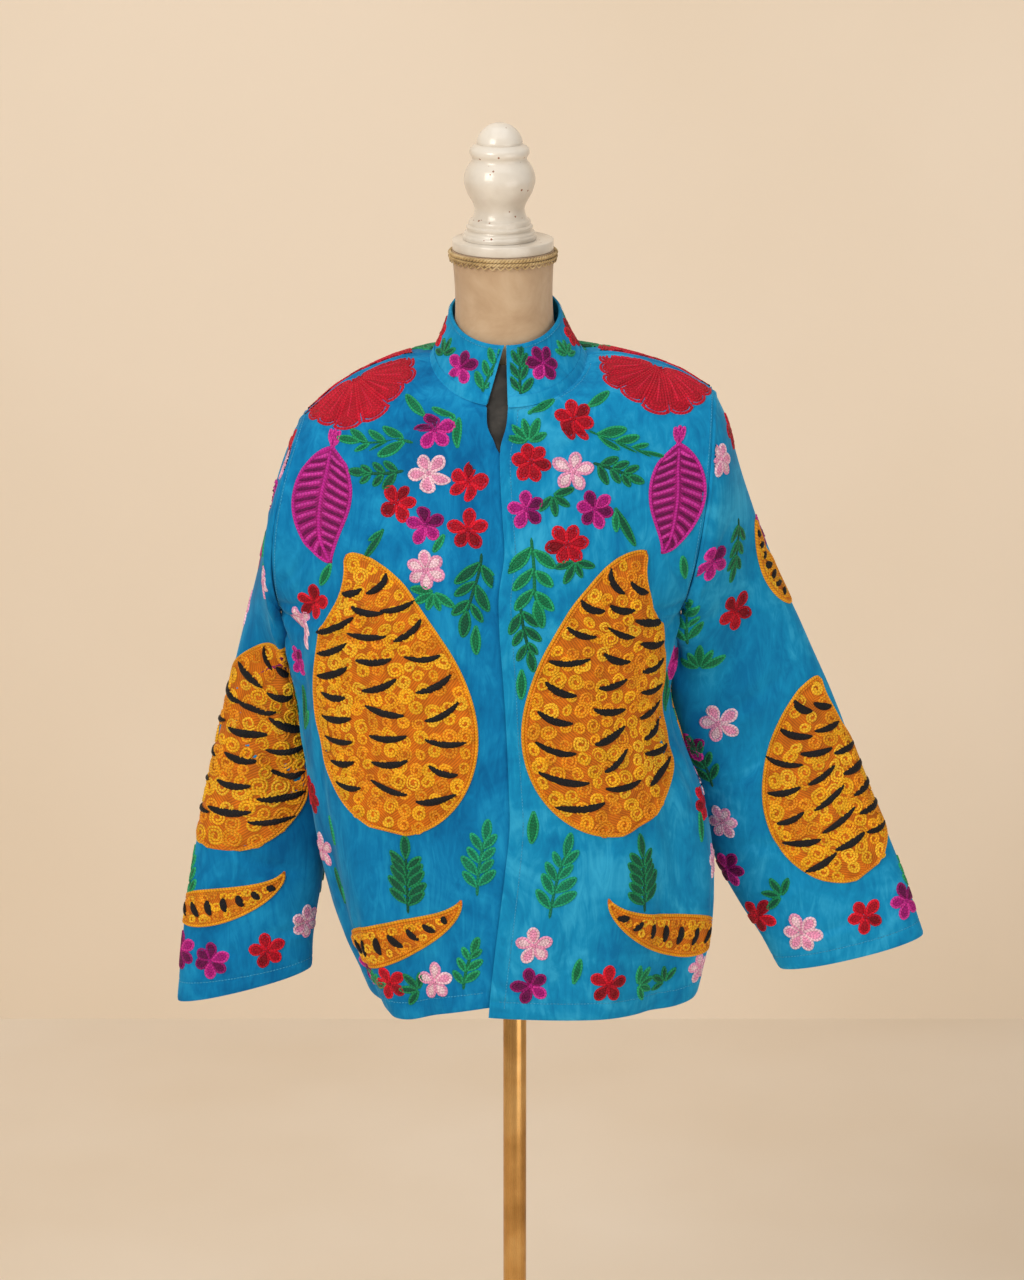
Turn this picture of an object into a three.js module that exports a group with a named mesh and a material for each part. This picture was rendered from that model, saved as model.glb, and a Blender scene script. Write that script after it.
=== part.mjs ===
// Embroidered velvet jacket on a limbless dress form with a pole stand.
// Millimetres, +Z up, front towards -Y, origin on the floor under the pole.
// "over" is the front that closes on top (+X), "under" the one beneath it (-X).
import * as THREE from 'three';

// Cloth and the clearances between pieces
const clothWall = 2;
const seamGap = 0.34;
const overlapLift = 3.3;
const bindingLift = 0.4;
const bindingWall = 1.2;

// Grid of the panels: rows from the hem to the shoulder seam, columns from the middle to the side
const lowerRows = 12;
const upperRows = 12;
const neckRow = 7;
const panelColumns = 10;
const sleeveRings = 20;
const collarRows = 4;

// Garment sizes
const underarmZ = 1152;
const neckCentre = { x: -7, halfWidth: 80, front: 84, back: 74 };
const neckZ = { front: 1386, side: 1422, back: 1428 };
const collarTop = { x: -10, y: 2, halfWidth: 57, halfDepth: 62, back: 1487, front: 1445, side: 1470 };
const collarTopGap = 1.2;
const collarHollow = 2;
const underlapTurn = 7.5;
const sectionFullness = 0.92;
const shoulderBow = { over: 14, under: 17 };

// Body below the underarm: reach to each side, depth in front and behind,
// the edge of the overlapping front and the middle of the back
const bodyLevels = [
  { z: 715, left: -150, right: 194, front: -139, back: 121, edge: -31, mid: 14 },
  { z: 760, left: -169, right: 204, front: -141, back: 119, edge: -28, mid: 13 },
  { z: 800, left: -186, right: 211, front: -142, back: 117, edge: -24, mid: 11 },
  { z: 850, left: -201, right: 213, front: -143, back: 115, edge: -18, mid: 7 },
  { z: 900, left: -211, right: 209, front: -143, back: 113, edge: -12, mid: 2 },
  { z: 950, left: -219, right: 199, front: -143, back: 112, edge: -7, mid: -4 },
  { z: 1000, left: -225, right: 180, front: -142, back: 112, edge: -8, mid: -9 },
  { z: 1050, left: -232, right: 166, front: -140, back: 114, edge: -10, mid: -13 },
  { z: 1100, left: -241, right: 171, front: -139, back: 116, edge: -13, mid: -14 },
  { z: 1152, left: -247, right: 176, front: -138, back: 118, edge: -17, mid: -14 },
];

// Height of the hem from the middle (turn 0) to the side seam (turn 1)
const hemHeights = [
  { turn: 0, over: 741, under: 751, back: 740 },
  { turn: 0.2, over: 736, under: 742, back: 739 },
  { turn: 0.45, over: 731, under: 727, back: 737 },
  { turn: 0.7, over: 728, under: 728, back: 736 },
  { turn: 1, over: 738, under: 738, back: 738 },
];

// Centre front and centre back above the underarm, up to the neckline
const centreFront = [
  { row: 0, z: 1152, depth: -138, over: -17, under: -17 },
  { row: 1, z: 1197, depth: -134.5, over: -18, under: -18 },
  { row: 2, z: 1240, depth: -128.5, over: -12, under: -12 },
  { row: 3, z: 1280, depth: -120, over: -14, under: -14 },
  { row: 4, z: 1316, depth: -110.5, over: -16, under: -16 },
  { row: 5, z: 1346, depth: -101.5, over: -16, under: -18 },
  { row: 6, z: 1367, depth: -93.5, over: -10, under: -27 },
  { row: 7, z: 1386, depth: -84, over: -8, under: -28 },
];
const centreBack = [
  { row: 0, z: 1152, depth: 118, x: -14 },
  { row: 1, z: 1197, depth: 120, x: -13 },
  { row: 2, z: 1243, depth: 120, x: -12 },
  { row: 3, z: 1288, depth: 117, x: -11 },
  { row: 4, z: 1330, depth: 111, x: -10 },
  { row: 5, z: 1368, depth: 102, x: -9 },
  { row: 6, z: 1400, depth: 90, x: -8 },
  { row: 7, z: 1428, depth: 74, x: -7 },
];
const neckShares = [
  { row: 7, share: 0 },
  { row: 8, share: 0.22 },
  { row: 9, share: 0.43 },
  { row: 10, share: 0.63 },
  { row: 11, share: 0.82 },
  { row: 12, share: 1 },
];

// Sleeves: the outline's outer and inner edge at each ring, from the armhole to the cuff;
// y and halfDepth place it front to back, bow pushes its flat sides away from the body
const overSleeve = [
  { at: 0, outerX: 207, outerZ: 1384, innerX: 176, innerZ: 1152, y: 0, halfDepth: 68, bow: 6 },
  { at: 1, outerX: 219, outerZ: 1358, innerX: 180, innerZ: 1141, y: 3, halfDepth: 65, bow: 9 },
  { at: 2, outerX: 230, outerZ: 1322, innerX: 174, innerZ: 1121, y: 10, halfDepth: 60, bow: 10 },
  { at: 3, outerX: 243, outerZ: 1278, innerX: 171, innerZ: 1094, y: 23, halfDepth: 55, bow: 10 },
  { at: 4, outerX: 260, outerZ: 1226, innerX: 164, innerZ: 1062, y: 38, halfDepth: 51, bow: 8 },
  { at: 5, outerX: 281, outerZ: 1172, innerX: 164, innerZ: 1028, y: 46, halfDepth: 47, bow: 5 },
  { at: 6, outerX: 303, outerZ: 1124, innerX: 173, innerZ: 992, y: 50, halfDepth: 44, bow: 2 },
  { at: 7, outerX: 325, outerZ: 1074, innerX: 189, innerZ: 952, y: 52, halfDepth: 41, bow: 0 },
  { at: 8, outerX: 347, outerZ: 1022, innerX: 199, innerZ: 914, y: 52, halfDepth: 40, bow: 0 },
  { at: 9, outerX: 367, outerZ: 972, innerX: 208, innerZ: 877, y: 50, halfDepth: 39, bow: 0 },
  { at: 10, outerX: 388, outerZ: 920, innerX: 223, innerZ: 842, y: 47, halfDepth: 38, bow: 0 },
  { at: 11, outerX: 409, outerZ: 868, innerX: 243, innerZ: 808, y: 43, halfDepth: 36, bow: 0 },
  { at: 12, outerX: 428, outerZ: 816, innerX: 266, innerZ: 772, y: 39, halfDepth: 34, bow: 0 },
  { at: 13, outerX: 443, outerZ: 774, innerX: 287, innerZ: 735, y: 35, halfDepth: 31, bow: 0 },
];
const underSleeve = [
  { at: 0, outerX: -220, outerZ: 1358, innerX: -247, innerZ: 1152, y: 0, halfDepth: 66, bow: 17 },
  { at: 1, outerX: -230, outerZ: 1334, innerX: -251, innerZ: 1142, y: 3, halfDepth: 63, bow: 19 },
  { at: 2, outerX: -240, outerZ: 1302, innerX: -246, innerZ: 1121, y: 10, halfDepth: 59, bow: 19 },
  { at: 3, outerX: -251, outerZ: 1262, innerX: -240, innerZ: 1088, y: 24, halfDepth: 54, bow: 17 },
  { at: 4, outerX: -264, outerZ: 1214, innerX: -231, innerZ: 1054, y: 38, halfDepth: 49, bow: 13 },
  { at: 5, outerX: -278, outerZ: 1158, innerX: -222, innerZ: 1018, y: 47, halfDepth: 45, bow: 9 },
  { at: 6, outerX: -293, outerZ: 1100, innerX: -216, innerZ: 980, y: 50, halfDepth: 42, bow: 5 },
  { at: 7, outerX: -307, outerZ: 1042, innerX: -209, innerZ: 942, y: 52, halfDepth: 40, bow: 2 },
  { at: 8, outerX: -321, outerZ: 984, innerX: -205, innerZ: 904, y: 52, halfDepth: 39, bow: 0 },
  { at: 9, outerX: -334, outerZ: 926, innerX: -204, innerZ: 868, y: 50, halfDepth: 38, bow: 0 },
  { at: 10, outerX: -345, outerZ: 870, innerX: -207, innerZ: 834, y: 47, halfDepth: 37, bow: 0 },
  { at: 11, outerX: -354, outerZ: 813, innerX: -214, innerZ: 800, y: 43, halfDepth: 35, bow: 0 },
  { at: 12, outerX: -361, outerZ: 756, innerX: -218, innerZ: 768, y: 39, halfDepth: 33, bow: 0 },
  { at: 13, outerX: -367, outerZ: 698, innerX: -220, innerZ: 737, y: 35, halfDepth: 30, bow: 0 },
];

// Folds of the body: where they lie from the middle to the side, how they slant,
// the rows they fade between, and how far they stand out (or sink in)
const bodyFolds = [
  { panel: 'over', turn: 0.34, slant: 0.004, low: -2, high: 9, width: 0.1, height: 4 },
  { panel: 'over', turn: 0.56, slant: 0.006, low: -2, high: 10, width: 0.08, height: -6 },
  { panel: 'over', turn: 0.8, slant: 0, low: -2, high: 9, width: 0.08, height: 4 },
  { panel: 'over', turn: 0.86, slant: -0.02, low: 7, high: 15, width: 0.1, height: -5 },
  { panel: 'over', turn: 0.72, slant: -0.035, low: 9, high: 17, width: 0.11, height: 4 },
  { panel: 'under', turn: 0.3, slant: 0, low: -2, high: 8, width: 0.09, height: -4 },
  { panel: 'under', turn: 0.52, slant: 0.004, low: -2, high: 10, width: 0.09, height: 6 },
  { panel: 'under', turn: 0.74, slant: 0.003, low: -2, high: 9, width: 0.07, height: -6 },
  { panel: 'under', turn: 0.84, slant: -0.025, low: 8, high: 16, width: 0.1, height: -7 },
  { panel: 'under', turn: 0.68, slant: -0.03, low: 8, high: 17, width: 0.12, height: 4 },
  { panel: 'backOver', turn: 0.3, slant: 0.003, low: -2, high: 12, width: 0.1, height: -6 },
  { panel: 'backOver', turn: 0.56, slant: 0.002, low: -2, high: 11, width: 0.09, height: 6 },
  { panel: 'backOver', turn: 0.8, slant: 0, low: -2, high: 10, width: 0.07, height: -5 },
  { panel: 'backUnder', turn: 0.26, slant: 0, low: -2, high: 11, width: 0.1, height: 6 },
  { panel: 'backUnder', turn: 0.52, slant: 0.004, low: -2, high: 13, width: 0.09, height: -6 },
  { panel: 'backUnder', turn: 0.8, slant: 0, low: -2, high: 9, width: 0.07, height: 4 },
];

// Folds across the sleeves: ring, slant over the width, and depth of the trough
const sleeveFolds = [
  { sleeve: 'over', at: 5.2, slant: 1.5, width: 0.7, front: -6, back: -4 },
  { sleeve: 'over', at: 7.6, slant: -1.1, width: 0.65, front: -5, back: -7 },
  { sleeve: 'over', at: 9.9, slant: 0.9, width: 0.6, front: -4, back: -3 },
  { sleeve: 'under', at: 4.9, slant: -1.4, width: 0.7, front: -7, back: -4 },
  { sleeve: 'under', at: 7.4, slant: 1.2, width: 0.65, front: -5, back: -6 },
  { sleeve: 'under', at: 10.1, slant: -0.8, width: 0.6, front: -4, back: -4 },
];

// Dress form: half-width and depth at each height, and how far the neck leans to -X;
// pinch is below 1 where a section is boxy and above 1 where the shoulders thin out
const formLean = 0.0175;
const formBottomZ = 830;
const formTopZ = 1533;
const formColumns = 28;
const formLevels = [
  { z: 830, halfWidth: 150, front: 94, back: 88, pinch: 0.92 },
  { z: 850, halfWidth: 156, front: 102, back: 95, pinch: 0.92 },
  { z: 900, halfWidth: 155, front: 105, back: 99, pinch: 0.92 },
  { z: 960, halfWidth: 146, front: 101, back: 95, pinch: 0.92 },
  { z: 1020, halfWidth: 140, front: 96, back: 88, pinch: 0.92 },
  { z: 1080, halfWidth: 145, front: 100, back: 86, pinch: 0.92 },
  { z: 1140, halfWidth: 158, front: 110, back: 88, pinch: 0.92 },
  { z: 1200, halfWidth: 170, front: 116, back: 93, pinch: 0.92 },
  { z: 1260, halfWidth: 182, front: 110, back: 97, pinch: 0.92 },
  { z: 1310, halfWidth: 188, front: 92, back: 94, pinch: 0.94 },
  { z: 1345, halfWidth: 190, front: 78, back: 84, pinch: 1 },
  { z: 1370, halfWidth: 184, front: 68, back: 72, pinch: 1.15 },
  { z: 1388, halfWidth: 168, front: 62, back: 64, pinch: 1.4 },
  { z: 1401, halfWidth: 142, front: 56, back: 58, pinch: 1.8 },
  { z: 1408.5, halfWidth: 112, front: 54, back: 56, pinch: 1.8 },
  { z: 1412, halfWidth: 90, front: 53, back: 55, pinch: 1.5 },
  { z: 1416, halfWidth: 74, front: 53, back: 54.5, pinch: 1.25 },
  { z: 1427, halfWidth: 62, front: 53, back: 54, pinch: 1.05 },
  { z: 1442, halfWidth: 55.5, front: 52.5, back: 52.5, pinch: 1 },
  { z: 1460, halfWidth: 51.5, front: 51, back: 51, pinch: 1 },
  { z: 1485, halfWidth: 50.5, front: 50.5, back: 50.5, pinch: 1 },
  { z: 1510, halfWidth: 51.5, front: 51.5, back: 51.5, pinch: 1 },
  { z: 1533, halfWidth: 53, front: 53, back: 53, pinch: 1 },
];

// Neck cap, braid and turned finial
const capRadius = 52.5;
const capThickness = 10.8;
const braidHeight = 12;
const braidThickness = 2.4;
const finialOffset = -3.5;
const finialProfile = [
  { r: 38, z: 0 },
  { r: 38.5, z: 4 },
  { r: 36, z: 8 },
  { r: 34.5, z: 9.5 },
  { r: 34.5, z: 14 },
  { r: 32.5, z: 16 },
  { r: 31.5, z: 20 },
  { r: 28, z: 23 },
  { r: 26.5, z: 27 },
  { r: 26, z: 32 },
  { r: 28, z: 38 },
  { r: 33, z: 47 },
  { r: 36.5, z: 57 },
  { r: 37, z: 64 },
  { r: 34, z: 74 },
  { r: 29, z: 82 },
  { r: 27.5, z: 85 },
  { r: 30.5, z: 89 },
  { r: 31, z: 94 },
  { r: 27, z: 98 },
  { r: 24, z: 102 },
  { r: 20, z: 110 },
  { r: 12.5, z: 117.5 },
  { r: 5, z: 120.5 },
];

// Stand
const poleRadius = 12.5;
const plateThickness = 8;
const plateShare = 0.95;
const socketRadius = 24;
const socketLength = 32;
const baseRadius = 170;
const baseThickness = 12;
const hubRadius = 34;
const hubTopRadius = 19;
const hubHeight = 40;
const turnedSides = 24;
const seatGap = 0.3;

const radians = THREE.MathUtils.degToRad;
const smooth = THREE.MathUtils.smoothstep;
const mix = THREE.MathUtils.lerp;

// A row of a table at any place along one of its columns, by a smooth cubic
function sample(table, axis, at) {
  const last = table.length - 1;
  let k = 0;
  while (k < last - 1 && at > table[k + 1][axis]) k += 1;
  const [a, b] = [table[k], table[k + 1]];
  const [before, after] = [table[Math.max(k - 1, 0)], table[Math.min(k + 2, last)]];
  const step = b[axis] - a[axis];
  const t = Math.min(Math.max((at - a[axis]) / step, 0), 1);
  const row = {};
  for (const name of Object.keys(a)) {
    const slopeA = (b[name] - before[name]) / (b[axis] - before[axis]) * step;
    const slopeB = (after[name] - a[name]) / (after[axis] - a[axis]) * step;
    row[name] = a[name] * (1 + 2 * t) * (1 - t) ** 2 + slopeA * t * (1 - t) ** 2
      + b[name] * t * t * (3 - 2 * t) - slopeB * t * t * (1 - t);
  }
  return row;
}

// Point of a sleeve ring: turn 0 at the underarm, 90 in front, 180 outside, 270 behind
function sleevePoint(name, at, turn) {
  const ring = sample(name === 'over' ? overSleeve : underSleeve, 'at', at);
  const side = name === 'over' ? 1 : -1;
  const a = radians(turn);
  const spanX = (ring.outerX - ring.innerX) / 2;
  const spanZ = (ring.outerZ - ring.innerZ) / 2;
  const length = Math.hypot(spanX, spanZ);
  const bow = side * ring.bow * Math.sin(a) ** 2 / length;
  let depth = ring.halfDepth;
  for (const fold of sleeveFolds.filter((row) => row.sleeve === name)) {
    const away = (at - fold.at - fold.slant * Math.cos(a)) / fold.width;
    depth += (turn < 180 ? fold.front : fold.back) * Math.exp(-away * away) * Math.abs(Math.sin(a));
  }
  return new THREE.Vector3(
    ring.innerX + spanX * (1 - Math.cos(a)) + bow * Math.abs(spanZ),
    ring.y - depth * Math.sin(a),
    ring.innerZ + spanZ * (1 - Math.cos(a)) - side * bow * spanX * Math.sign(spanZ),
  );
}

// The four half panels: side is +X or -X, face is -1 in front and 1 behind
const halves = {
  over: { side: 1, face: -1, sleeve: 'over' },
  under: { side: -1, face: -1, sleeve: 'under' },
  backOver: { side: 1, face: 1, sleeve: 'over' },
  backUnder: { side: -1, face: 1, sleeve: 'under' },
};

// Neckline from the middle (share 0) to the shoulder seam (share 1)
function necklinePoint(name, share) {
  const { side, face } = halves[name];
  const edge = face < 0 ? centreFront[neckRow][name] : neckCentre.x;
  const start = Math.asin(side * (edge - neckCentre.x) / neckCentre.halfWidth);
  const a = mix(start, Math.PI / 2, share);
  const rise = 1 - Math.cos(a);
  return new THREE.Vector3(
    neckCentre.x + side * neckCentre.halfWidth * Math.sin(a),
    face < 0 ? -neckCentre.front * Math.cos(a) : neckCentre.back * Math.cos(a),
    face < 0 ? mix(neckZ.front, neckZ.side, rise) : mix(neckZ.back, neckZ.side, rise),
  );
}

// Middle end of a row above the underarm
function middlePoint(name, row) {
  if (row > neckRow) return necklinePoint(name, sample(neckShares, 'row', row).share);
  if (halves[name].face > 0) {
    const back = sample(centreBack, 'row', row);
    return new THREE.Vector3(back.x, back.depth, back.z);
  }
  const front = sample(centreFront, 'row', row);
  return new THREE.Vector3(front[name], front.depth, front.z);
}

// Point of a half panel before folds: row from 0 at the hem, turn from 0 in the middle to 1
function plainPoint(name, row, turn) {
  const { side, face, sleeve } = halves[name];
  if (row < lowerRows) {
    const hem = sample(hemHeights, 'turn', Math.max(turn, 0))[face < 0 ? name : 'back'];
    const level = sample(bodyLevels, 'z', mix(hem, underarmZ, row / lowerRows));
    const middle = face < 0 ? level.edge : level.mid;
    const reach = (side > 0 ? level.right : level.left) - middle;
    const a = turn * Math.PI / 2;
    return new THREE.Vector3(
      middle + Math.sign(a) * reach * Math.abs(Math.sin(a)) ** sectionFullness,
      (face < 0 ? level.front : level.back) * Math.max(Math.cos(a), 0) ** sectionFullness,
      level.z,
    );
  }
  const above = row - lowerRows;
  const inner = middlePoint(name, above);
  const ringTurn = 180 * above / upperRows;
  const outer = sleevePoint(sleeve, 0, face < 0 ? ringTurn : 360 - ringTurn);
  const ratio = Math.abs(outer.y) / Math.max(Math.abs(inner.y), 1);
  const widest = Math.min(Math.max(Math.acos(Math.min(ratio, 1)), Math.PI / 4), Math.PI / 2);
  const a = turn * widest;
  const across = Math.sign(a) * (Math.abs(Math.sin(a)) / Math.sin(widest)) ** sectionFullness;
  const round = (Math.max(Math.cos(a) - Math.cos(widest), 0) / (1 - Math.cos(widest))) ** sectionFullness;
  const bow = shoulderBow[sleeve] * smooth(above, 4, 10) * 4 * Math.abs(across) * (1 - Math.abs(across));
  return new THREE.Vector3(
    mix(inner.x, outer.x, across),
    mix(outer.y, inner.y, round),
    mix(inner.z, outer.z, Math.abs(across)) + bow,
  );
}

// The same point with its folds and, near the front edge, the lift over the other front
function panelPoint(name, row, turn) {
  const { side, face } = halves[name];
  const point = plainPoint(name, row, turn);
  const a = turn * Math.PI / 2;
  let out = 0;
  for (const fold of bodyFolds.filter((entry) => entry.panel === name)) {
    const away = (turn - fold.turn - fold.slant * (row - fold.low)) / fold.width;
    const fade = smooth(row, fold.low, fold.low + 2) * (1 - smooth(row, (fold.low + fold.high) / 2, fold.high));
    out += fold.height * Math.exp(-away * away) * fade;
  }
  out *= smooth(turn, 0, 0.12) * (1 - smooth(turn, 0.88, 1));
  if (name === 'over') {
    const closed = 1 - smooth(row, lowerRows + 4, lowerRows + 6.5);
    out += overlapLift * closed * (1 - smooth(turn, 0.22, 0.45));
  }
  point.x += side * out * Math.sin(a);
  point.y += face * out * Math.cos(a);
  return point;
}

const pointKey = (point) => [point.x, point.y, point.z].map((v) => Math.round(v * 100)).join();

// A sheet is a list of points and four-sided faces; points at one place are shared
class Sheet {
  constructor() {
    this.points = [];
    this.faces = [];
    this.index = new Map();
  }

  add(point) {
    const key = pointKey(point);
    if (!this.index.has(key)) {
      this.index.set(key, this.points.length);
      this.points.push(point);
    }
    return this.index.get(key);
  }

  // Faces over a grid of points given by place(row, column)
  fill(rows, columns, place, flip) {
    const ids = [];
    for (let row = 0; row <= rows; row += 1) {
      ids.push([]);
      for (let column = 0; column <= columns; column += 1) ids[row].push(this.add(place(row, column)));
    }
    for (let row = 0; row < rows; row += 1) {
      for (let column = 0; column < columns; column += 1) {
        const face = [ids[row][column], ids[row][column + 1], ids[row + 1][column + 1], ids[row + 1][column]];
        this.faces.push(flip ? face.reverse() : face);
      }
    }
    return this;
  }
}

const towards = (from, to) => to.clone().sub(from).normalize();
const faceCentre = (sheet, face) => (
  face.reduce((sum, id) => sum.add(sheet.points[id]), new THREE.Vector3()).divideScalar(face.length)
);

// At each place where sheets meet: their outward directions and their directions into the cloth
function seamTable(sheets) {
  const seams = new Map();
  for (const sheet of sheets) {
    for (const face of sheet.faces) {
      const [a, b, c, d] = face.map((id) => sheet.points[id]);
      const normal = c.clone().sub(a).cross(d.clone().sub(b)).normalize();
      const centre = faceCentre(sheet, face);
      for (const corner of [a, b, c, d]) {
        const key = pointKey(corner);
        if (!seams.has(key)) seams.set(key, { normal: new THREE.Vector3(), into: new THREE.Vector3() });
        seams.get(key).normal.add(normal);
        seams.get(key).into.add(towards(corner, centre));
      }
    }
  }
  return seams;
}

// Direction in which an edge point moves to stand clear of the pieces sewn to it
function apart(own, all) {
  const others = all.clone().sub(own);
  const direction = own.clone().normalize();
  if (others.length() > 0.01) direction.sub(others.normalize());
  return direction.normalize();
}

// A closed wall under a sheet, its edges drawn back by half the seam gap
function wall(sheet, seams, thickness, lift = 0) {
  const count = sheet.points.length;
  const seam = sheet.points.map((point) => seams.get(pointKey(point)));
  const normal = seam.map((entry) => entry.normal.clone().normalize());
  const edges = new Map();
  const into = sheet.points.map(() => new THREE.Vector3());
  for (const face of sheet.faces) {
    const centre = faceCentre(sheet, face);
    face.forEach((a, k) => {
      const b = face[(k + 1) % 4];
      if (edges.has(`${b},${a}`)) edges.delete(`${b},${a}`);
      else edges.set(`${a},${b}`, [a, b]);
      into[a].add(towards(sheet.points[a], centre));
    });
  }
  const onEdge = new Set([...edges.values()].flat());
  const outer = sheet.points.map((point, id) => {
    const moved = point.clone().addScaledVector(normal[id], lift);
    if (onEdge.has(id)) moved.addScaledVector(apart(into[id], seam[id].into), seamGap / 2);
    return moved;
  });
  const inner = outer.map((point, id) => point.clone().addScaledVector(normal[id], -thickness));
  const triangles = [];
  for (const [a, b, c, d] of sheet.faces) {
    triangles.push(a, b, c, a, c, d);
    triangles.push(a + count, c + count, b + count, a + count, d + count, c + count);
  }
  // Both pieces at a seam split their rims along the same diagonal
  for (const [a, b] of edges.values()) {
    if (pointKey(sheet.points[a]) < pointKey(sheet.points[b])) {
      triangles.push(b, a, a + count, b, a + count, b + count);
    } else {
      triangles.push(b, a, b + count, a, a + count, b + count);
    }
  }
  const geometry = new THREE.BufferGeometry().setFromPoints([...outer, ...inner]);
  geometry.setIndex(triangles);
  return geometry;
}

// One half panel as faces in a sheet; the under front runs on beneath the over one
function fillHalf(sheet, name) {
  const { side, face } = halves[name];
  const rows = lowerRows + upperRows;
  return sheet.fill(rows, panelColumns, (row, column) => {
    let start = 0;
    if (name === 'under') start = -underlapTurn / 90 * (1 - smooth(row, lowerRows + 3.9, lowerRows + 5));
    return panelPoint(name, row, mix(start, 1, column / panelColumns));
  }, side * face > 0);
}

function sleeveSheet(name) {
  const around = 2 * upperRows;
  return new Sheet().fill(sleeveRings, around, (ring, column) => {
    const at = overSleeve[overSleeve.length - 1].at * ring / sleeveRings;
    return sleevePoint(name, at, (column % around) * 360 / around);
  }, name === 'over');
}

// Base points of the collar, round the neck from the over front to the under front
function collarBase() {
  const shares = neckShares.map((row) => row.share);
  const run = (name) => shares.map((share) => necklinePoint(name, share));
  return [
    ...run('over'),
    ...run('backOver').reverse().slice(1),
    ...run('backUnder').slice(1),
    ...run('under').reverse().slice(1),
  ];
}

// Point of the stand collar: share 0 on the neckline, 1 on the top edge
function collarPoint(base, column, columns, share) {
  const frontTurn = (collarTopGap / 2) / collarTop.halfWidth;
  const a = mix(frontTurn, 2 * Math.PI - frontTurn, column / columns);
  const front = Math.max(Math.cos(a), 0);
  const back = Math.max(-Math.cos(a), 0);
  const top = new THREE.Vector3(
    collarTop.x + collarTop.halfWidth * Math.sin(a),
    collarTop.y - collarTop.halfDepth * Math.cos(a),
    mix(mix(collarTop.side, collarTop.front, front), collarTop.back, back),
  );
  const point = base.clone().lerp(top, share);
  const hollow = -collarHollow * Math.sin(Math.PI * share);
  point.x += hollow * Math.sin(a);
  point.y -= hollow * Math.cos(a);
  return point;
}

function collarSheet(low, high, rows) {
  const base = collarBase();
  const columns = base.length - 1;
  return new Sheet().fill(rows, columns, (row, column) => (
    collarPoint(base[column], column, columns, mix(low, high, row / rows))
  ), false);
}

// Small strip that closes the gap at the throat from behind
function underlapSheet() {
  const levels = [
    { z: 1340, y: -100.6 },
    { z: 1352, y: -95.5 },
    { z: 1368, y: -88 },
    { z: 1386, y: -77.5 },
    { z: 1404, y: -69.5 },
    { z: 1424, y: -61.5 },
  ];
  const halfWidth = 21;
  const bend = 60;
  const columns = 6;
  return new Sheet().fill(levels.length - 1, columns, (row, column) => {
    const x = mix(-halfWidth, halfWidth, column / columns);
    return new THREE.Vector3(x - 16, levels[row].y + x * x / (2 * bend), levels[row].z);
  }, false);
}

// Smooth closed torso through its levels, leaning with the neck
function torsoGeometry(levels, columns) {
  const points = [];
  for (const level of levels) {
    for (let column = 0; column < columns; column += 1) {
      const a = 2 * Math.PI * column / columns;
      const depth = Math.cos(a) > 0 ? level.front : level.back;
      points.push(new THREE.Vector3(
        level.halfWidth * Math.sign(Math.sin(a)) * Math.abs(Math.sin(a)) ** level.pinch
          - formLean * (level.z - formBottomZ),
        -depth * Math.sign(Math.cos(a)) * Math.abs(Math.cos(a)) ** level.pinch,
        level.z,
      ));
    }
  }
  const middle = (level) => new THREE.Vector3(-formLean * (level.z - formBottomZ), 0, level.z);
  const bottom = points.push(middle(levels[0])) - 1;
  const top = points.push(middle(levels[levels.length - 1])) - 1;
  const lastRing = (levels.length - 1) * columns;
  const triangles = [];
  for (let column = 0; column < columns; column += 1) {
    const next = (column + 1) % columns;
    triangles.push(bottom, next, column);
    triangles.push(top, lastRing + column, lastRing + next);
    for (let ring = 0; ring < levels.length - 1; ring += 1) {
      const low = ring * columns;
      const high = low + columns;
      triangles.push(low + column, low + next, high + next);
      triangles.push(low + column, high + next, high + column);
    }
  }
  const geometry = new THREE.BufferGeometry().setFromPoints(points);
  geometry.setIndex(triangles);
  return geometry;
}

// A turned piece standing along +Z from a profile of radius and height
function turned(profile) {
  const outline = profile.map((row) => new THREE.Vector2(row.r, row.z));
  return new THREE.LatheGeometry(outline, turnedSides).rotateX(Math.PI / 2);
}

const group = new THREE.Group();

function place(name, geometry, colour, roughness, metalness = 0) {
  const material = new THREE.MeshStandardMaterial({ color: colour, roughness, metalness });
  const mesh = new THREE.Mesh(geometry, material);
  mesh.name = name;
  group.add(mesh);
  return mesh;
}

const velvet = { over: 0x3b9fcf, under: 0x1285c4 };

function addJacket() {
  const front = { over: fillHalf(new Sheet(), 'over'), under: fillHalf(new Sheet(), 'under') };
  const back = fillHalf(fillHalf(new Sheet(), 'backOver'), 'backUnder');
  const sleeves = { over: sleeveSheet('over'), under: sleeveSheet('under') };
  const collar = collarSheet(0, 1, collarRows);
  const seams = seamTable([front.over, front.under, back, sleeves.over, sleeves.under, collar]);
  place('front_left', wall(front.over, seams, clothWall), velvet.over, 0.9);
  place('front_right', wall(front.under, seams, clothWall), velvet.under, 0.9);
  place('back', wall(back, seams, clothWall), velvet.under, 0.9);
  place('sleeve_left', wall(sleeves.over, seams, clothWall), velvet.over, 0.9);
  place('sleeve_right', wall(sleeves.under, seams, clothWall), velvet.under, 0.9);
  place('collar', wall(collar, seams, clothWall), velvet.over, 0.9);

  // The binding lies on the collar just above the neckline seam
  const binding = collarSheet(0.05, 0.16, 1);
  const bindingSolid = wall(binding, seamTable([binding]), bindingWall, bindingLift + bindingWall);
  place('neck_binding', bindingSolid, velvet.over, 0.9);

  const underlap = underlapSheet();
  place('underlap', wall(underlap, seamTable([underlap]), clothWall), 0x55504a, 0.95);
}

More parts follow.
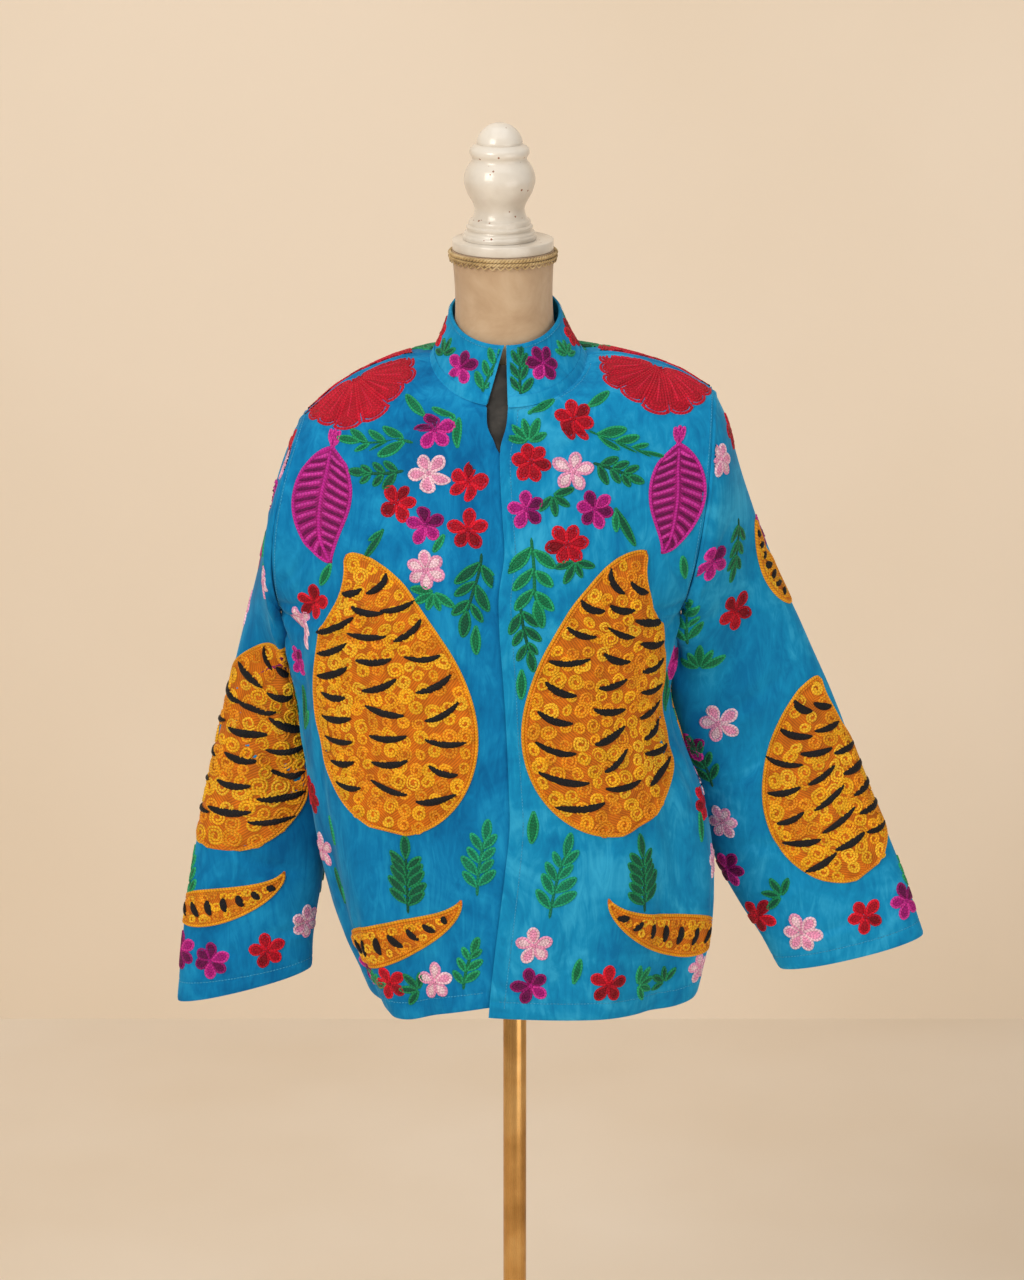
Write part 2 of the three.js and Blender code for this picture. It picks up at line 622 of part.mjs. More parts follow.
function addForm() {
  const neckX = -formLean * (formTopZ - formBottomZ);
  place('form_torso', torsoGeometry(formLevels, formColumns), 0xcdbb9c, 0.95);

  const neckRadius = formLevels[formLevels.length - 1].halfWidth;
  const braidInner = neckRadius + 2 * seatGap;
  const braid = turned([
    { r: braidInner, z: 0 },
    { r: braidInner + braidThickness * 0.7, z: 0 },
    { r: braidInner + braidThickness, z: braidHeight / 2 },
    { r: braidInner + braidThickness * 0.7, z: braidHeight },
    { r: braidInner, z: braidHeight },
    { r: braidInner, z: 0 },
  ]);
  place('neck_braid', braid, 0xc9b28a, 0.95).position.set(neckX, 0, formTopZ - braidHeight - seatGap);

  const edge = 2;
  const cap = turned([
    { r: 0, z: 0 },
    { r: capRadius - edge, z: 0 },
    { r: capRadius, z: edge },
    { r: capRadius, z: capThickness - edge },
    { r: capRadius - edge, z: capThickness },
    { r: 0, z: capThickness },
  ]);
  place('neck_cap', cap, 0xebe6dd, 0.4).position.set(neckX, 0, formTopZ + seatGap);

  const finial = turned([{ r: 0, z: 0 }, ...finialProfile, { r: 0, z: finialProfile.at(-1).z + 0.6 }]);
  place('finial', finial, 0xebe6dd, 0.35)
    .position.set(neckX + finialOffset, 0, formTopZ + capThickness + 2 * seatGap);
}

function addStand() {
  const plateBottomZ = formBottomZ - seatGap - plateThickness;
  const plateLevel = (z) => ({
    z,
    halfWidth: formLevels[0].halfWidth * plateShare,
    front: formLevels[0].front * plateShare,
    back: formLevels[0].back * plateShare,
    pinch: formLevels[0].pinch,
  });
  const plate = torsoGeometry([plateLevel(plateBottomZ), plateLevel(formBottomZ - seatGap)], formColumns);
  place('torso_plate', plate, 0x8a6b48, 0.7);

  const socketBottomZ = plateBottomZ - seatGap - socketLength;
  const socket = turned([
    { r: 0, z: 0 },
    { r: poleRadius + 5, z: 0 },
    { r: poleRadius + 5, z: socketLength - 8 },
    { r: socketRadius, z: socketLength - 5 },
    { r: socketRadius, z: socketLength },
    { r: 0, z: socketLength },
  ]);
  place('pole_socket', socket, 0xa9824a, 0.35, 1).position.z = socketBottomZ;

  const hubBottomZ = baseThickness + seatGap;
  const poleBottomZ = hubBottomZ + hubHeight + seatGap;
  const poleLength = socketBottomZ - seatGap - poleBottomZ;
  const pole = new THREE.CylinderGeometry(poleRadius, poleRadius, poleLength, turnedSides);
  place('pole', pole.rotateX(Math.PI / 2), 0xa9824a, 0.3, 1).position.z = poleBottomZ + poleLength / 2;

  const hub = turned([
    { r: 0, z: 0 },
    { r: hubRadius, z: 0 },
    { r: hubRadius, z: 6 },
    { r: hubTopRadius + 3, z: 14 },
    { r: hubTopRadius, z: 22 },
    { r: hubTopRadius, z: hubHeight - 1.5 },
    { r: hubTopRadius - 1.5, z: hubHeight },
    { r: 0, z: hubHeight },
  ]);
  place('base_hub', hub, 0xa9824a, 0.35, 1).position.z = hubBottomZ;

  const base = turned([
    { r: 0, z: 0 },
    { r: baseRadius - 1.5, z: 0 },
    { r: baseRadius, z: 1.5 },
    { r: baseRadius, z: baseThickness - 5 },
    { r: baseRadius - 4, z: baseThickness - 1 },
    { r: baseRadius - 9, z: baseThickness },
    { r: 0, z: baseThickness },
  ]);
  place('base_disc', base, 0xa9824a, 0.35, 1);
}

addJacket();
addForm();
addStand();

export default group;
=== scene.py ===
# Embroidered velvet jacket on a limbless dress form with a pole stand.
# Built as a dressmaker's drawing: each panel is a sheet of places (row, turn),
# row from the hem to the shoulder, turn from the middle of the body to its side.
import math
import random

import bmesh
import bpy
import numpy as np
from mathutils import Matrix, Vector


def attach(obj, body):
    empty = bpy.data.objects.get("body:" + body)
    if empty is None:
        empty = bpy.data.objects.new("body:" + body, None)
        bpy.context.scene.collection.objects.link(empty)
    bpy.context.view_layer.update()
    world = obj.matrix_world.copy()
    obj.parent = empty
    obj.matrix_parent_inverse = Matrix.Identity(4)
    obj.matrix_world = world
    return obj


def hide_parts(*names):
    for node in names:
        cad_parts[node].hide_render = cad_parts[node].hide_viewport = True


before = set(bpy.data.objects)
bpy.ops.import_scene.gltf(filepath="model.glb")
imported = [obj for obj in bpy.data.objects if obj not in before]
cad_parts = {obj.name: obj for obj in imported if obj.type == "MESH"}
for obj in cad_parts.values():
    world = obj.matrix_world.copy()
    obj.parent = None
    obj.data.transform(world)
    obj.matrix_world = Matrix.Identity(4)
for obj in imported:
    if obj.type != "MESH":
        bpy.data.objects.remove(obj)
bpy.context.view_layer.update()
bpy.ops.object.select_all(action="DESELECT")
bpy.context.scene.view_settings.view_transform = "Standard"
bpy.context.scene.view_settings.look = "None"
print("jacket: frame loaded")

mm = 0.001

# Places on the garment, in millimetres, as the solids have them
bodyLevels = {
    "z": [715, 760, 800, 850, 900, 950, 1000, 1050, 1100, 1152],
    "left": [-150, -169, -186, -201, -211, -219, -225, -232, -241, -247],
    "right": [194, 204, 211, 213, 209, 199, 180, 166, 171, 176],
    "front": [-139, -141, -142, -143, -143, -143, -142, -140, -139, -138],
    "back": [121, 119, 117, 115, 113, 112, 112, 114, 116, 118],
    "edge": [-31, -28, -24, -18, -12, -7, -8, -10, -13, -17],
    "mid": [14, 13, 11, 7, 2, -4, -9, -13, -14, -14],
}
hemHeights = {
    "turn": [0, 0.2, 0.45, 0.7, 1],
    "over": [741, 736, 731, 728, 738],
    "under": [751, 742, 727, 728, 738],
    "back": [740, 739, 737, 736, 738],
}
centreFront = {
    "row": [0, 1, 2, 3, 4, 5, 6, 7],
    "z": [1152, 1197, 1240, 1280, 1316, 1346, 1367, 1386],
    "depth": [-138, -134.5, -128.5, -120, -110.5, -101.5, -93.5, -84],
    "over": [-17, -18, -12, -14, -16, -16, -10, -8],
    "under": [-17, -18, -12, -14, -16, -18, -27, -28],
}
centreBack = {
    "row": [0, 1, 2, 3, 4, 5, 6, 7],
    "z": [1152, 1197, 1243, 1288, 1330, 1368, 1400, 1428],
    "depth": [118, 120, 120, 117, 111, 102, 90, 74],
    "x": [-14, -13, -12, -11, -10, -9, -8, -7],
}
neckShares = {
    "row": [7, 8, 9, 10, 11, 12],
    "share": [0, 0.22, 0.43, 0.63, 0.82, 1],
}
overSleeve = {
    "at": [0, 1, 2, 3, 4, 5, 6, 7, 8, 9, 10, 11, 12, 13],
    "outerX": [207, 219, 230, 243, 260, 281, 303, 325, 347, 367, 388, 409, 428, 443],
    "outerZ": [1384, 1358, 1322, 1278, 1226, 1172, 1124, 1074, 1022, 972, 920, 868, 816, 774],
    "innerX": [176, 180, 174, 171, 164, 164, 173, 189, 199, 208, 223, 243, 266, 287],
    "innerZ": [1152, 1141, 1121, 1094, 1062, 1028, 992, 952, 914, 877, 842, 808, 772, 735],
    "y": [0, 3, 10, 23, 38, 46, 50, 52, 52, 50, 47, 43, 39, 35],
    "halfDepth": [68, 65, 60, 55, 51, 47, 44, 41, 40, 39, 38, 36, 34, 31],
    "bow": [6, 9, 10, 10, 8, 5, 2, 0, 0, 0, 0, 0, 0, 0],
}
underSleeve = {
    "at": [0, 1, 2, 3, 4, 5, 6, 7, 8, 9, 10, 11, 12, 13],
    "outerX": [-220, -230, -240, -251, -264, -278, -293, -307, -321, -334, -345, -354, -361, -367],
    "outerZ": [1358, 1334, 1302, 1262, 1214, 1158, 1100, 1042, 984, 926, 870, 813, 756, 698],
    "innerX": [-247, -251, -246, -240, -231, -222, -216, -209, -205, -204, -207, -214, -218, -220],
    "innerZ": [1152, 1142, 1121, 1088, 1054, 1018, 980, 942, 904, 868, 834, 800, 768, 737],
    "y": [0, 3, 10, 24, 38, 47, 50, 52, 52, 50, 47, 43, 39, 35],
    "halfDepth": [66, 63, 59, 54, 49, 45, 42, 40, 39, 38, 37, 35, 33, 30],
    "bow": [17, 19, 19, 17, 13, 9, 5, 2, 0, 0, 0, 0, 0, 0],
}
formLevels = {
    "z": [830, 850, 900, 960, 1020, 1080, 1140, 1200, 1260, 1310, 1345, 1370,
          1388, 1401, 1408.5, 1412, 1416, 1427, 1442, 1460, 1485, 1510, 1533],
    "halfWidth": [150, 156, 155, 146, 140, 145, 158, 170, 182, 188, 190, 184,
                  168, 142, 112, 90, 74, 62, 55.5, 51.5, 50.5, 51.5, 53],
    "front": [94, 102, 105, 101, 96, 100, 110, 116, 110, 92, 78, 68, 62, 56, 54, 53, 53, 53, 52.5, 51, 50.5, 51.5, 53],
    "back": [88, 95, 99, 95, 88, 86, 88, 93, 97, 94, 84, 72, 64, 58, 56, 55, 54.5, 54, 52.5, 51, 50.5, 51.5, 53],
    "pinch": [0.92] * 9 + [0.94, 1, 1.15, 1.4, 1.8, 1.8, 1.5, 1.25, 1.05] + [1] * 5,
}
finialProfile = {
    "r": [38, 38.5, 36, 34.2, 34.5, 32.5, 31.5, 28, 26.5, 26, 28, 33, 36.5,
          37, 34, 28.6, 28.4, 30.6, 30.9, 28.6, 23.6, 24, 20.4, 12.5, 5],
    "z": [0, 4, 8, 9.5, 14, 16, 20, 23, 27, 32, 38, 47, 57,
          64, 74, 82, 84.6, 87.6, 92.6, 96.4, 98.2, 101, 109.6, 117.5, 120.5],
}
bodyFolds = {                             # turn, slant, lowest and highest row, width, height in mm
    "over": [
        (0.34, 0.004, -2, 9, 0.1, 4),
        (0.56, 0.006, -2, 10, 0.08, -6),
        (0.8, 0, -2, 9, 0.08, 4),
        (0.86, -0.02, 7, 15, 0.1, -5),
        (0.72, -0.035, 9, 17, 0.11, 4),
    ],
    "under": [
        (0.3, 0, -2, 8, 0.09, -4),
        (0.52, 0.004, -2, 10, 0.09, 6),
        (0.74, 0.003, -2, 9, 0.07, -6),
        (0.84, -0.025, 8, 16, 0.1, -7),
        (0.68, -0.03, 8, 17, 0.12, 4),
    ],
    "backOver": [
        (0.3, 0.003, -2, 12, 0.1, -6),
        (0.56, 0.002, -2, 11, 0.09, 6),
        (0.8, 0, -2, 10, 0.07, -5),
    ],
    "backUnder": [
        (0.26, 0, -2, 11, 0.1, 6),
        (0.52, 0.004, -2, 13, 0.09, -6),
        (0.8, 0, -2, 9, 0.07, 4),
    ],
}
sleeveFolds = {                           # where along, slant, width, height in mm at the front and behind
    "over": [
        (5.2, 1.5, 0.7, -6, -4),
        (7.6, -1.1, 0.65, -5, -7),
        (9.9, 0.9, 0.6, -4, -3),
    ],
    "under": [
        (4.9, -1.4, 0.7, -7, -4),
        (7.4, 1.2, 0.65, -5, -6),
        (10.1, -0.8, 0.6, -4, -4),
    ],
}

garment = {
    "rows": 24, "armRow": 12, "neckRow": 7,      # from the hem to the shoulder; the neck's is counted from the arm's
    "cuffRow": 13, "underarm": 1152, "fullness": 0.92, "overlapLift": 3.3, "underlapTurn": 7.5,
    "shoulderBow": {"over": 14, "under": 17},
    "neckX": -7, "neckHalfWidth": 80, "neckFrontDepth": 84, "neckBackDepth": 74,
    "neckZ": (1386, 1422, 1428),            # front, side, back
}
collar = {
    "x": -10, "y": 2, "halfWidth": 57, "halfDepth": 62,
    "back": 1487, "front": 1445, "side": 1470, "gap": 1.2, "hollow": 2,
}
underlap = {
    "halfWidth": 21, "x": -16, "bend": 120,
    "y": [-100.6, -95.5, -88, -77.5, -69.5, -61.5], "z": [1340, 1352, 1368, 1386, 1404, 1424],
}
halves = {
    "over": {"side": 1, "face": -1, "sleeve": "over"},
    "under": {"side": -1, "face": -1, "sleeve": "under"},
    "backOver": {"side": 1, "face": 1, "sleeve": "over"},
    "backUnder": {"side": -1, "face": 1, "sleeve": "under"},
}


def smooth(value, low, high):
    t = np.clip((np.asarray(value, float) - low) / (high - low), 0, 1)
    return t * t * (3 - 2 * t)


def mix(a, b, t):
    return a + (b - a) * t


def stack(x, y, z):
    return np.stack(np.broadcast_arrays(x, y, z), axis=-1).astype(float)


def unit(vectors, least=1e-9):
    return vectors / np.maximum(np.linalg.norm(vectors, axis=-1, keepdims=True), least)


def runAlong(points):                     # distance along a path to each of its points
    return np.concatenate([[0], np.cumsum(np.linalg.norm(np.diff(points, axis=0), axis=1))])


def gridQuads(ids):                       # faces of one grid of points, or of a pile of them
    corners = [ids[..., :-1, :-1], ids[..., :-1, 1:], ids[..., 1:, 1:], ids[..., 1:, :-1]]
    return np.stack(corners, axis=-1).reshape(-1, 4)


def sample(table, axis, at):              # any place along a table, by a smooth cubic
    steps = np.array(table[axis], float)
    at = np.asarray(at, float)
    k = np.clip(np.searchsorted(steps, at) - 1, 0, len(steps) - 2)
    before, after = np.maximum(k - 1, 0), np.minimum(k + 2, len(steps) - 1)
    step = steps[k + 1] - steps[k]
    t = np.clip((at - steps[k]) / step, 0, 1)
    row = {}
    for name, values in table.items():
        v = np.array(values, float)
        slopeA = (v[k + 1] - v[before]) / (steps[k + 1] - steps[before]) * step
        slopeB = (v[after] - v[k]) / (steps[after] - steps[k]) * step
        row[name] = (v[k] * (1 + 2 * t) * (1 - t) ** 2 + slopeA * t * (1 - t) ** 2
                     + v[k + 1] * t * t * (3 - 2 * t) - slopeB * t * t * (1 - t))
    return row


def sleevePlace(name, at, turn):          # turn 0 underarm, 90 front, 180 outside, 270 behind
    ring = sample(overSleeve if name == "over" else underSleeve, "at", at)
    side = halves[name]["side"]
    a = np.radians(turn)
    spanX = (ring["outerX"] - ring["innerX"]) / 2
    spanZ = (ring["outerZ"] - ring["innerZ"]) / 2
    bow = side * ring["bow"] * np.sin(a) ** 2 / np.hypot(spanX, spanZ)
    depth = ring["halfDepth"]
    for foldAt, slant, width, front, back in sleeveFolds[name]:
        away = (at - foldAt - slant * np.cos(a)) / width
        depth = depth + np.where(np.sin(a) >= 0, front, back) * np.exp(-away * away) * np.abs(np.sin(a))
    return stack(ring["innerX"] + spanX * (1 - np.cos(a)) + bow * np.abs(spanZ),
                 ring["y"] - depth * np.sin(a),
                 ring["innerZ"] + spanZ * (1 - np.cos(a)) - side * bow * spanX * np.sign(spanZ))


def necklinePlace(name, share):
    side, face = halves[name]["side"], halves[name]["face"]
    edge = centreFront[name][garment["neckRow"]] if face < 0 else garment["neckX"]
    start = math.asin(side * (edge - garment["neckX"]) / garment["neckHalfWidth"])
    a = mix(start, math.pi / 2, np.asarray(share, float))
    front, atSide, back = garment["neckZ"]
    depth = -garment["neckFrontDepth"] if face < 0 else garment["neckBackDepth"]
    return stack(garment["neckX"] + side * garment["neckHalfWidth"] * np.sin(a),
                 depth * np.cos(a),
                 mix(front if face < 0 else back, atSide, 1 - np.cos(a)))


def middlePlace(name, row):
    onNeck = necklinePlace(name, sample(neckShares, "row", np.maximum(row, garment["neckRow"]))["share"])
    if halves[name]["face"] > 0:
        line = sample(centreBack, "row", row)
        body = stack(line["x"], line["depth"], line["z"])
    else:
        line = sample(centreFront, "row", row)
        body = stack(line[name], line["depth"], line["z"])
    return np.where((np.asarray(row) > garment["neckRow"])[..., None], onNeck, body)


def plainPlace(name, row, turn):
    side, face = halves[name]["side"], halves[name]["face"]
    row, turn = np.broadcast_arrays(np.asarray(row, float), np.asarray(turn, float))
    full, armRow = garment["fullness"], garment["armRow"]
    hem = sample(hemHeights, "turn", np.maximum(turn, 0))[name if face < 0 else "back"]
    level = sample(bodyLevels, "z", mix(hem, garment["underarm"], np.minimum(row, armRow) / armRow))
    middle = level["edge"] if face < 0 else level["mid"]
    reach = (level["right"] if side > 0 else level["left"]) - middle
    a = turn * math.pi / 2
    lower = stack(middle + np.sign(a) * reach * np.abs(np.sin(a)) ** full,
                  (level["front"] if face < 0 else level["back"]) * np.maximum(np.cos(a), 0) ** full,
                  level["z"])
    above = np.maximum(row - armRow, 0)
    inner = middlePlace(name, above)
    ringTurn = 180 * above / (garment["rows"] - armRow)
    outer = sleevePlace(halves[name]["sleeve"], np.zeros_like(above),
                        ringTurn if face < 0 else 360 - ringTurn)
    ratio = np.abs(outer[..., 1]) / np.maximum(np.abs(inner[..., 1]), 1)
    widest = np.clip(np.arccos(np.minimum(ratio, 1)), math.pi / 4, math.pi / 2)
    a = turn * widest
    across = np.sign(a) * (np.abs(np.sin(a)) / np.sin(widest)) ** full
    around = (np.maximum(np.cos(a) - np.cos(widest), 0) / (1 - np.cos(widest))) ** full
    bow = garment["shoulderBow"][halves[name]["sleeve"]] * smooth(above, 4, 10)
    bow = bow * 4 * np.abs(across) * (1 - np.abs(across))
    upper = stack(mix(inner[..., 0], outer[..., 0], across),
                  mix(outer[..., 1], inner[..., 1], around),
                  mix(inner[..., 2], outer[..., 2], np.abs(across)) + bow)
    return np.where((row < armRow)[..., None], lower, upper)


def panelPlace(name, row, turn):
    side, face = halves[name]["side"], halves[name]["face"]
    row, turn = np.broadcast_arrays(np.asarray(row, float), np.asarray(turn, float))
    place = plainPlace(name, row, turn)
    a = turn * math.pi / 2
    out = np.zeros_like(row)
    for foldTurn, slant, low, high, width, height in bodyFolds[name]:
        away = (turn - foldTurn - slant * (row - low)) / width
        fade = smooth(row, low, low + 2) * (1 - smooth(row, (low + high) / 2, high))
        out = out + height * np.exp(-away * away) * fade
    out = out * smooth(turn, 0, 0.12) * (1 - smooth(turn, 0.88, 1))
    if name == "over":
        closed = 1 - smooth(row, 16, 18.5)
        out = out + garment["overlapLift"] * closed * (1 - smooth(turn, 0.22, 0.45))
    place[..., 0] += side * out * np.sin(a)
    place[..., 1] += face * out * np.cos(a)
    return place


def underTurn(row, share):                # the under front runs on beneath the over one
    start = -garment["underlapTurn"] / 90 * (1 - smooth(row, 15.9, 17))
    return mix(start, 1, share)


def collarPlace(share, column):           # column 0 at the over front, 20 at the under front
    share, column = np.broadcast_arrays(np.asarray(share, float), np.asarray(column, float))
    runs = [("over", column), ("backOver", 10 - column), ("backUnder", column - 10), ("under", 20 - column)]
    base = np.zeros(column.shape + (3,))
    for k, (name, step) in enumerate(runs):
        there = sample(neckShares, "row", garment["neckRow"] + np.clip(step, 0, 5))["share"]
        inRun = (column >= 5 * k) & (column <= 5 * k + 5)
        base = np.where(inRun[..., None], necklinePlace(name, there), base)
    start = (collar["gap"] / 2) / collar["halfWidth"]
    a = mix(start, 2 * math.pi - start, column / 20)
    high = mix(mix(collar["side"], collar["front"], np.maximum(np.cos(a), 0)),
               collar["back"], np.maximum(-np.cos(a), 0))
    top = stack(collar["x"] + collar["halfWidth"] * np.sin(a),
                collar["y"] - collar["halfDepth"] * np.cos(a), high)
    place = mix(base, top, share[..., None])
    hollow = -collar["hollow"] * np.sin(math.pi * share)
    place[..., 0] += hollow * np.sin(a)
    place[..., 1] -= hollow * np.cos(a)
    return place


def underlapPlace(row, share):
    x = mix(-underlap["halfWidth"], underlap["halfWidth"], np.asarray(share, float))
    y, z = [np.interp(row, range(6), underlap[axis]) for axis in "yz"]
    return stack(x + underlap["x"], y + x * x / underlap["bend"], z)


# Creases and sewn detail, raised or sunk along each surface's own outward side

# Each crease: row and turn where it starts, row and turn where it ends, half width and depth in mm
# (a depth below 0 is a ridge). They radiate from the armpits, hang from the chest and pull at the closing.
creases = {
    "over": [
        (12.9, 0.97, 11.2, 0.66, 6, 2.6), (12.0, 0.97, 9.6, 0.78, 7, 3.0), (13.8, 0.95, 13.6, 0.6, 6, 1.8),
        (11.1, 0.98, 7.4, 0.86, 7, 2.4), (14.9, 0.96, 16.6, 0.74, 5, 1.5), (9.2, 0.7, 5.0, 0.78, 9, 2.0),
        (6.4, 0.42, 1.6, 0.5, 8, 1.9), (9.0, 0.3, 4.4, 0.24, 7, 1.2), (3.4, 0.86, 0.2, 0.82, 8, 2.1),
        (4.8, 0.12, 0.4, 0.16, 7, 1.3), (12.6, 0.4, 11.8, 0.2, 6, 0.9), (7.7, 0.96, 5.6, 0.62, 7, 1.4),
        (17.6, 0.2, 19.8, 0.5, 6, 0.9), (21.4, 0.86, 22.6, 0.5, 6, 1.1), (2.4, 0.3, 0.1, 0.34, 7, -1.2),
    ],
    "under": [
        (12.8, 0.97, 11.6, 0.62, 6, 2.8), (12.1, 0.98, 9.9, 0.72, 7, 3.2), (13.9, 0.96, 14.2, 0.66, 6, 1.9),
        (11.0, 0.98, 7.0, 0.84, 8, 2.6), (15.2, 0.95, 17.0, 0.7, 5, 1.4), (9.4, 0.62, 4.6, 0.7, 8, 1.7),
        (7.0, 0.36, 2.2, 0.32, 8, 1.6), (10.2, 0.2, 5.8, 0.26, 7, 1.1), (3.0, 0.9, 0.1, 0.86, 8, 2.0),
        (3.6, 0.56, 0.2, 0.6, 8, 1.7), (12.2, 0.36, 11.0, 0.16, 6, 0.9), (16.6, 0.12, 18.6, 0.4, 6, 1.0),
        (21.2, 0.84, 22.2, 0.46, 6, 1.2), (1.9, 0.2, 0.1, 0.2, 7, -1.2),
    ],
    "backOver": [
        (12.6, 0.97, 12.2, 0.6, 7, 2.6), (11.8, 0.97, 8.8, 0.74, 8, 3.0), (14.4, 0.95, 16.0, 0.66, 6, 1.6),
        (10.2, 0.44, 5.2, 0.4, 9, 2.0), (7.6, 0.7, 2.2, 0.74, 8, 1.8), (4.4, 0.2, 0.3, 0.24, 8, 1.7),
        (17.8, 0.3, 15.6, 0.12, 8, 1.2), (21.6, 0.7, 20.6, 0.4, 7, 1.0), (2.6, 0.94, 0.2, 0.9, 7, 1.5),
    ],
    "backUnder": [
        (12.7, 0.97, 11.9, 0.56, 7, 2.5), (11.5, 0.97, 8.4, 0.78, 8, 2.8), (14.9, 0.95, 16.8, 0.62, 6, 1.7),
        (9.4, 0.3, 4.0, 0.36, 9, 1.9), (6.6, 0.6, 1.2, 0.56, 8, 2.0), (3.2, 0.82, 0.2, 0.86, 7, 1.6),
        (18.4, 0.24, 16.4, 0.08, 8, 1.1), (21.0, 0.76, 20.2, 0.44, 7, 1.1),
    ],
    "sleeveOver": [
        (1.2, 28, 4.2, 108, 7, 2.8), (2.4, 14, 5.4, 84, 7, 2.6), (0.7, 60, 2.6, 128, 6, 1.8),
        (5.6, 40, 6.6, 132, 7, 2.4), (7.9, 30, 7.3, 118, 7, 2.2), (9.4, 52, 10.2, 140, 6, 1.8),
        (11.0, 24, 10.4, 96, 6, 1.6), (6.9, 128, 8.6, 186, 6, 1.4), (3.6, 330, 5.0, 250, 8, 2.6),
        (6.0, 322, 6.8, 232, 7, 2.6), (8.0, 340, 8.6, 246, 7, 2.2), (10.4, 320, 9.8, 240, 7, 1.9),
        (1.4, 334, 2.4, 262, 7, 2.2), (12.1, 70, 11.8, 120, 5, 1.3), (4.6, 150, 3.2, 196, 7, 1.2),
    ],
    "sleeveUnder": [
        (1.1, 26, 3.8, 104, 7, 2.8), (2.6, 12, 5.0, 88, 7, 2.8), (0.8, 62, 2.9, 122, 6, 1.7),
        (5.3, 36, 6.2, 126, 7, 2.5), (7.5, 34, 7.1, 128, 7, 2.1), (9.8, 48, 9.4, 138, 6, 1.9),
        (11.3, 28, 11.6, 90, 6, 1.5), (6.4, 134, 8.2, 180, 6, 1.3), (3.2, 332, 4.6, 248, 8, 2.5),
        (5.8, 326, 6.4, 238, 7, 2.4), (7.8, 336, 8.6, 250, 7, 2.3), (10.0, 318, 10.6, 236, 7, 1.8),
        (1.5, 330, 2.6, 264, 7, 2.1), (12.0, 96, 11.7, 148, 5, 1.3),
    ],
    "collar": [
        (0.1, 3.2, 0.9, 2.4, 4, 1.1), (0.3, 6.4, 0.8, 7.4, 6, 0.9), (0.2, 13.2, 0.9, 12.6, 6, 1.0),
        (0.15, 17.4, 0.85, 17.9, 4, 1.0), (0.5, 9.0, 0.6, 11.0, 5, 0.8),
    ],
}


# A rough flat drawing of each panel: mm to a row, and to a turn, a degree or a column
flat = {"bodyRow": 34.5, "upperRow": 20, "bodyTurn": 236, "sleeveRow": 47, "sleeveTurn": 0.98, "collarRow": 62,
        "collarTurn": 22}
creaseShape = {"sag": 0.09, "sink": 1.35, "lip": 0.55, "farLip": 0.25}
ripples = [(0.043, 0.021, 0.4), (0.071, -0.034, 2.1), (0.026, 0.067, 4.4), (0.11, 0.05, 1.2)]      # across, up, phase
seams = {                                 # width and depth of each sewn groove, in mm
    "side": (2.2, 1.1), "shoulder": (2.0, 1.0), "edge": (1.6, 0.9), "hemStitch": (1.5, 0.75), "frontEdge": (1.5, 0.8),
    "frontStitch": (1.4, 0.7), "neck": (2.2, 0.9), "armhole": (2.4, 1.2), "cuff": (1.6, 0.8), "underarm": (2.0, 1.0),
    "collarTop": (1.6, 0.7), "collarFoot": (1.5, 0.4),
}
stitchAt = {"hem": 19, "front": 9, "cuff": 18}      # mm in from each edge


def flatPlace(kind, row, turn):
    if kind.startswith("sleeve"):
        return row * flat["sleeveRow"], turn * flat["sleeveTurn"]
    if kind == "collar":
        return row * flat["collarRow"], turn * flat["collarTurn"]
    above = np.maximum(row - garment["armRow"], 0)
    return np.minimum(row, garment["armRow"]) * flat["bodyRow"] + above * flat["upperRow"], turn * flat["bodyTurn"]


def bell(distance, width):
    return np.exp(-(distance / width) ** 2)


def creaseRelief(kind, row, turn):
    y, x = flatPlace(kind, row, turn)
    out = np.zeros_like(x)
    for rowA, turnA, rowB, turnB, width, depth in creases[kind]:
        ay, ax = flatPlace(kind, np.float64(rowA), np.float64(turnA))
        by, bx = flatPlace(kind, np.float64(rowB), np.float64(turnB))
        length = math.hypot(bx - ax, by - ay)
        ux, uy = (bx - ax) / length, (by - ay) / length
        along = ((x - ax) * ux + (y - ay) * uy) / length
        sag = creaseShape["sag"] * length * np.sin(math.pi * np.clip(along, 0, 1))      # never quite straight
        off = (x - ax) * -uy + (y - ay) * ux - sag
        body = smooth(along, -0.12, 0.2) * (1 - smooth(along, 0.55, 1.1))
        out -= creaseShape["sink"] * depth * body * bell(off, width)
        out += creaseShape["lip"] * depth * body * bell(off - 1.7 * width, 1.1 * width)
        out += creaseShape["farLip"] * depth * body * bell(off + 1.9 * width, 1.2 * width)
    for k, (fx, fy, phase) in enumerate(ripples):
        out += 0.28 / (1 + 0.4 * k) * np.sin(fx * x + fy * y + phase + 1.3 * np.sin(0.019 * y - 0.013 * x + k))
    return out


def groove(distance, seam):
    width, depth = seams[seam]
    return -depth * bell(distance, width)


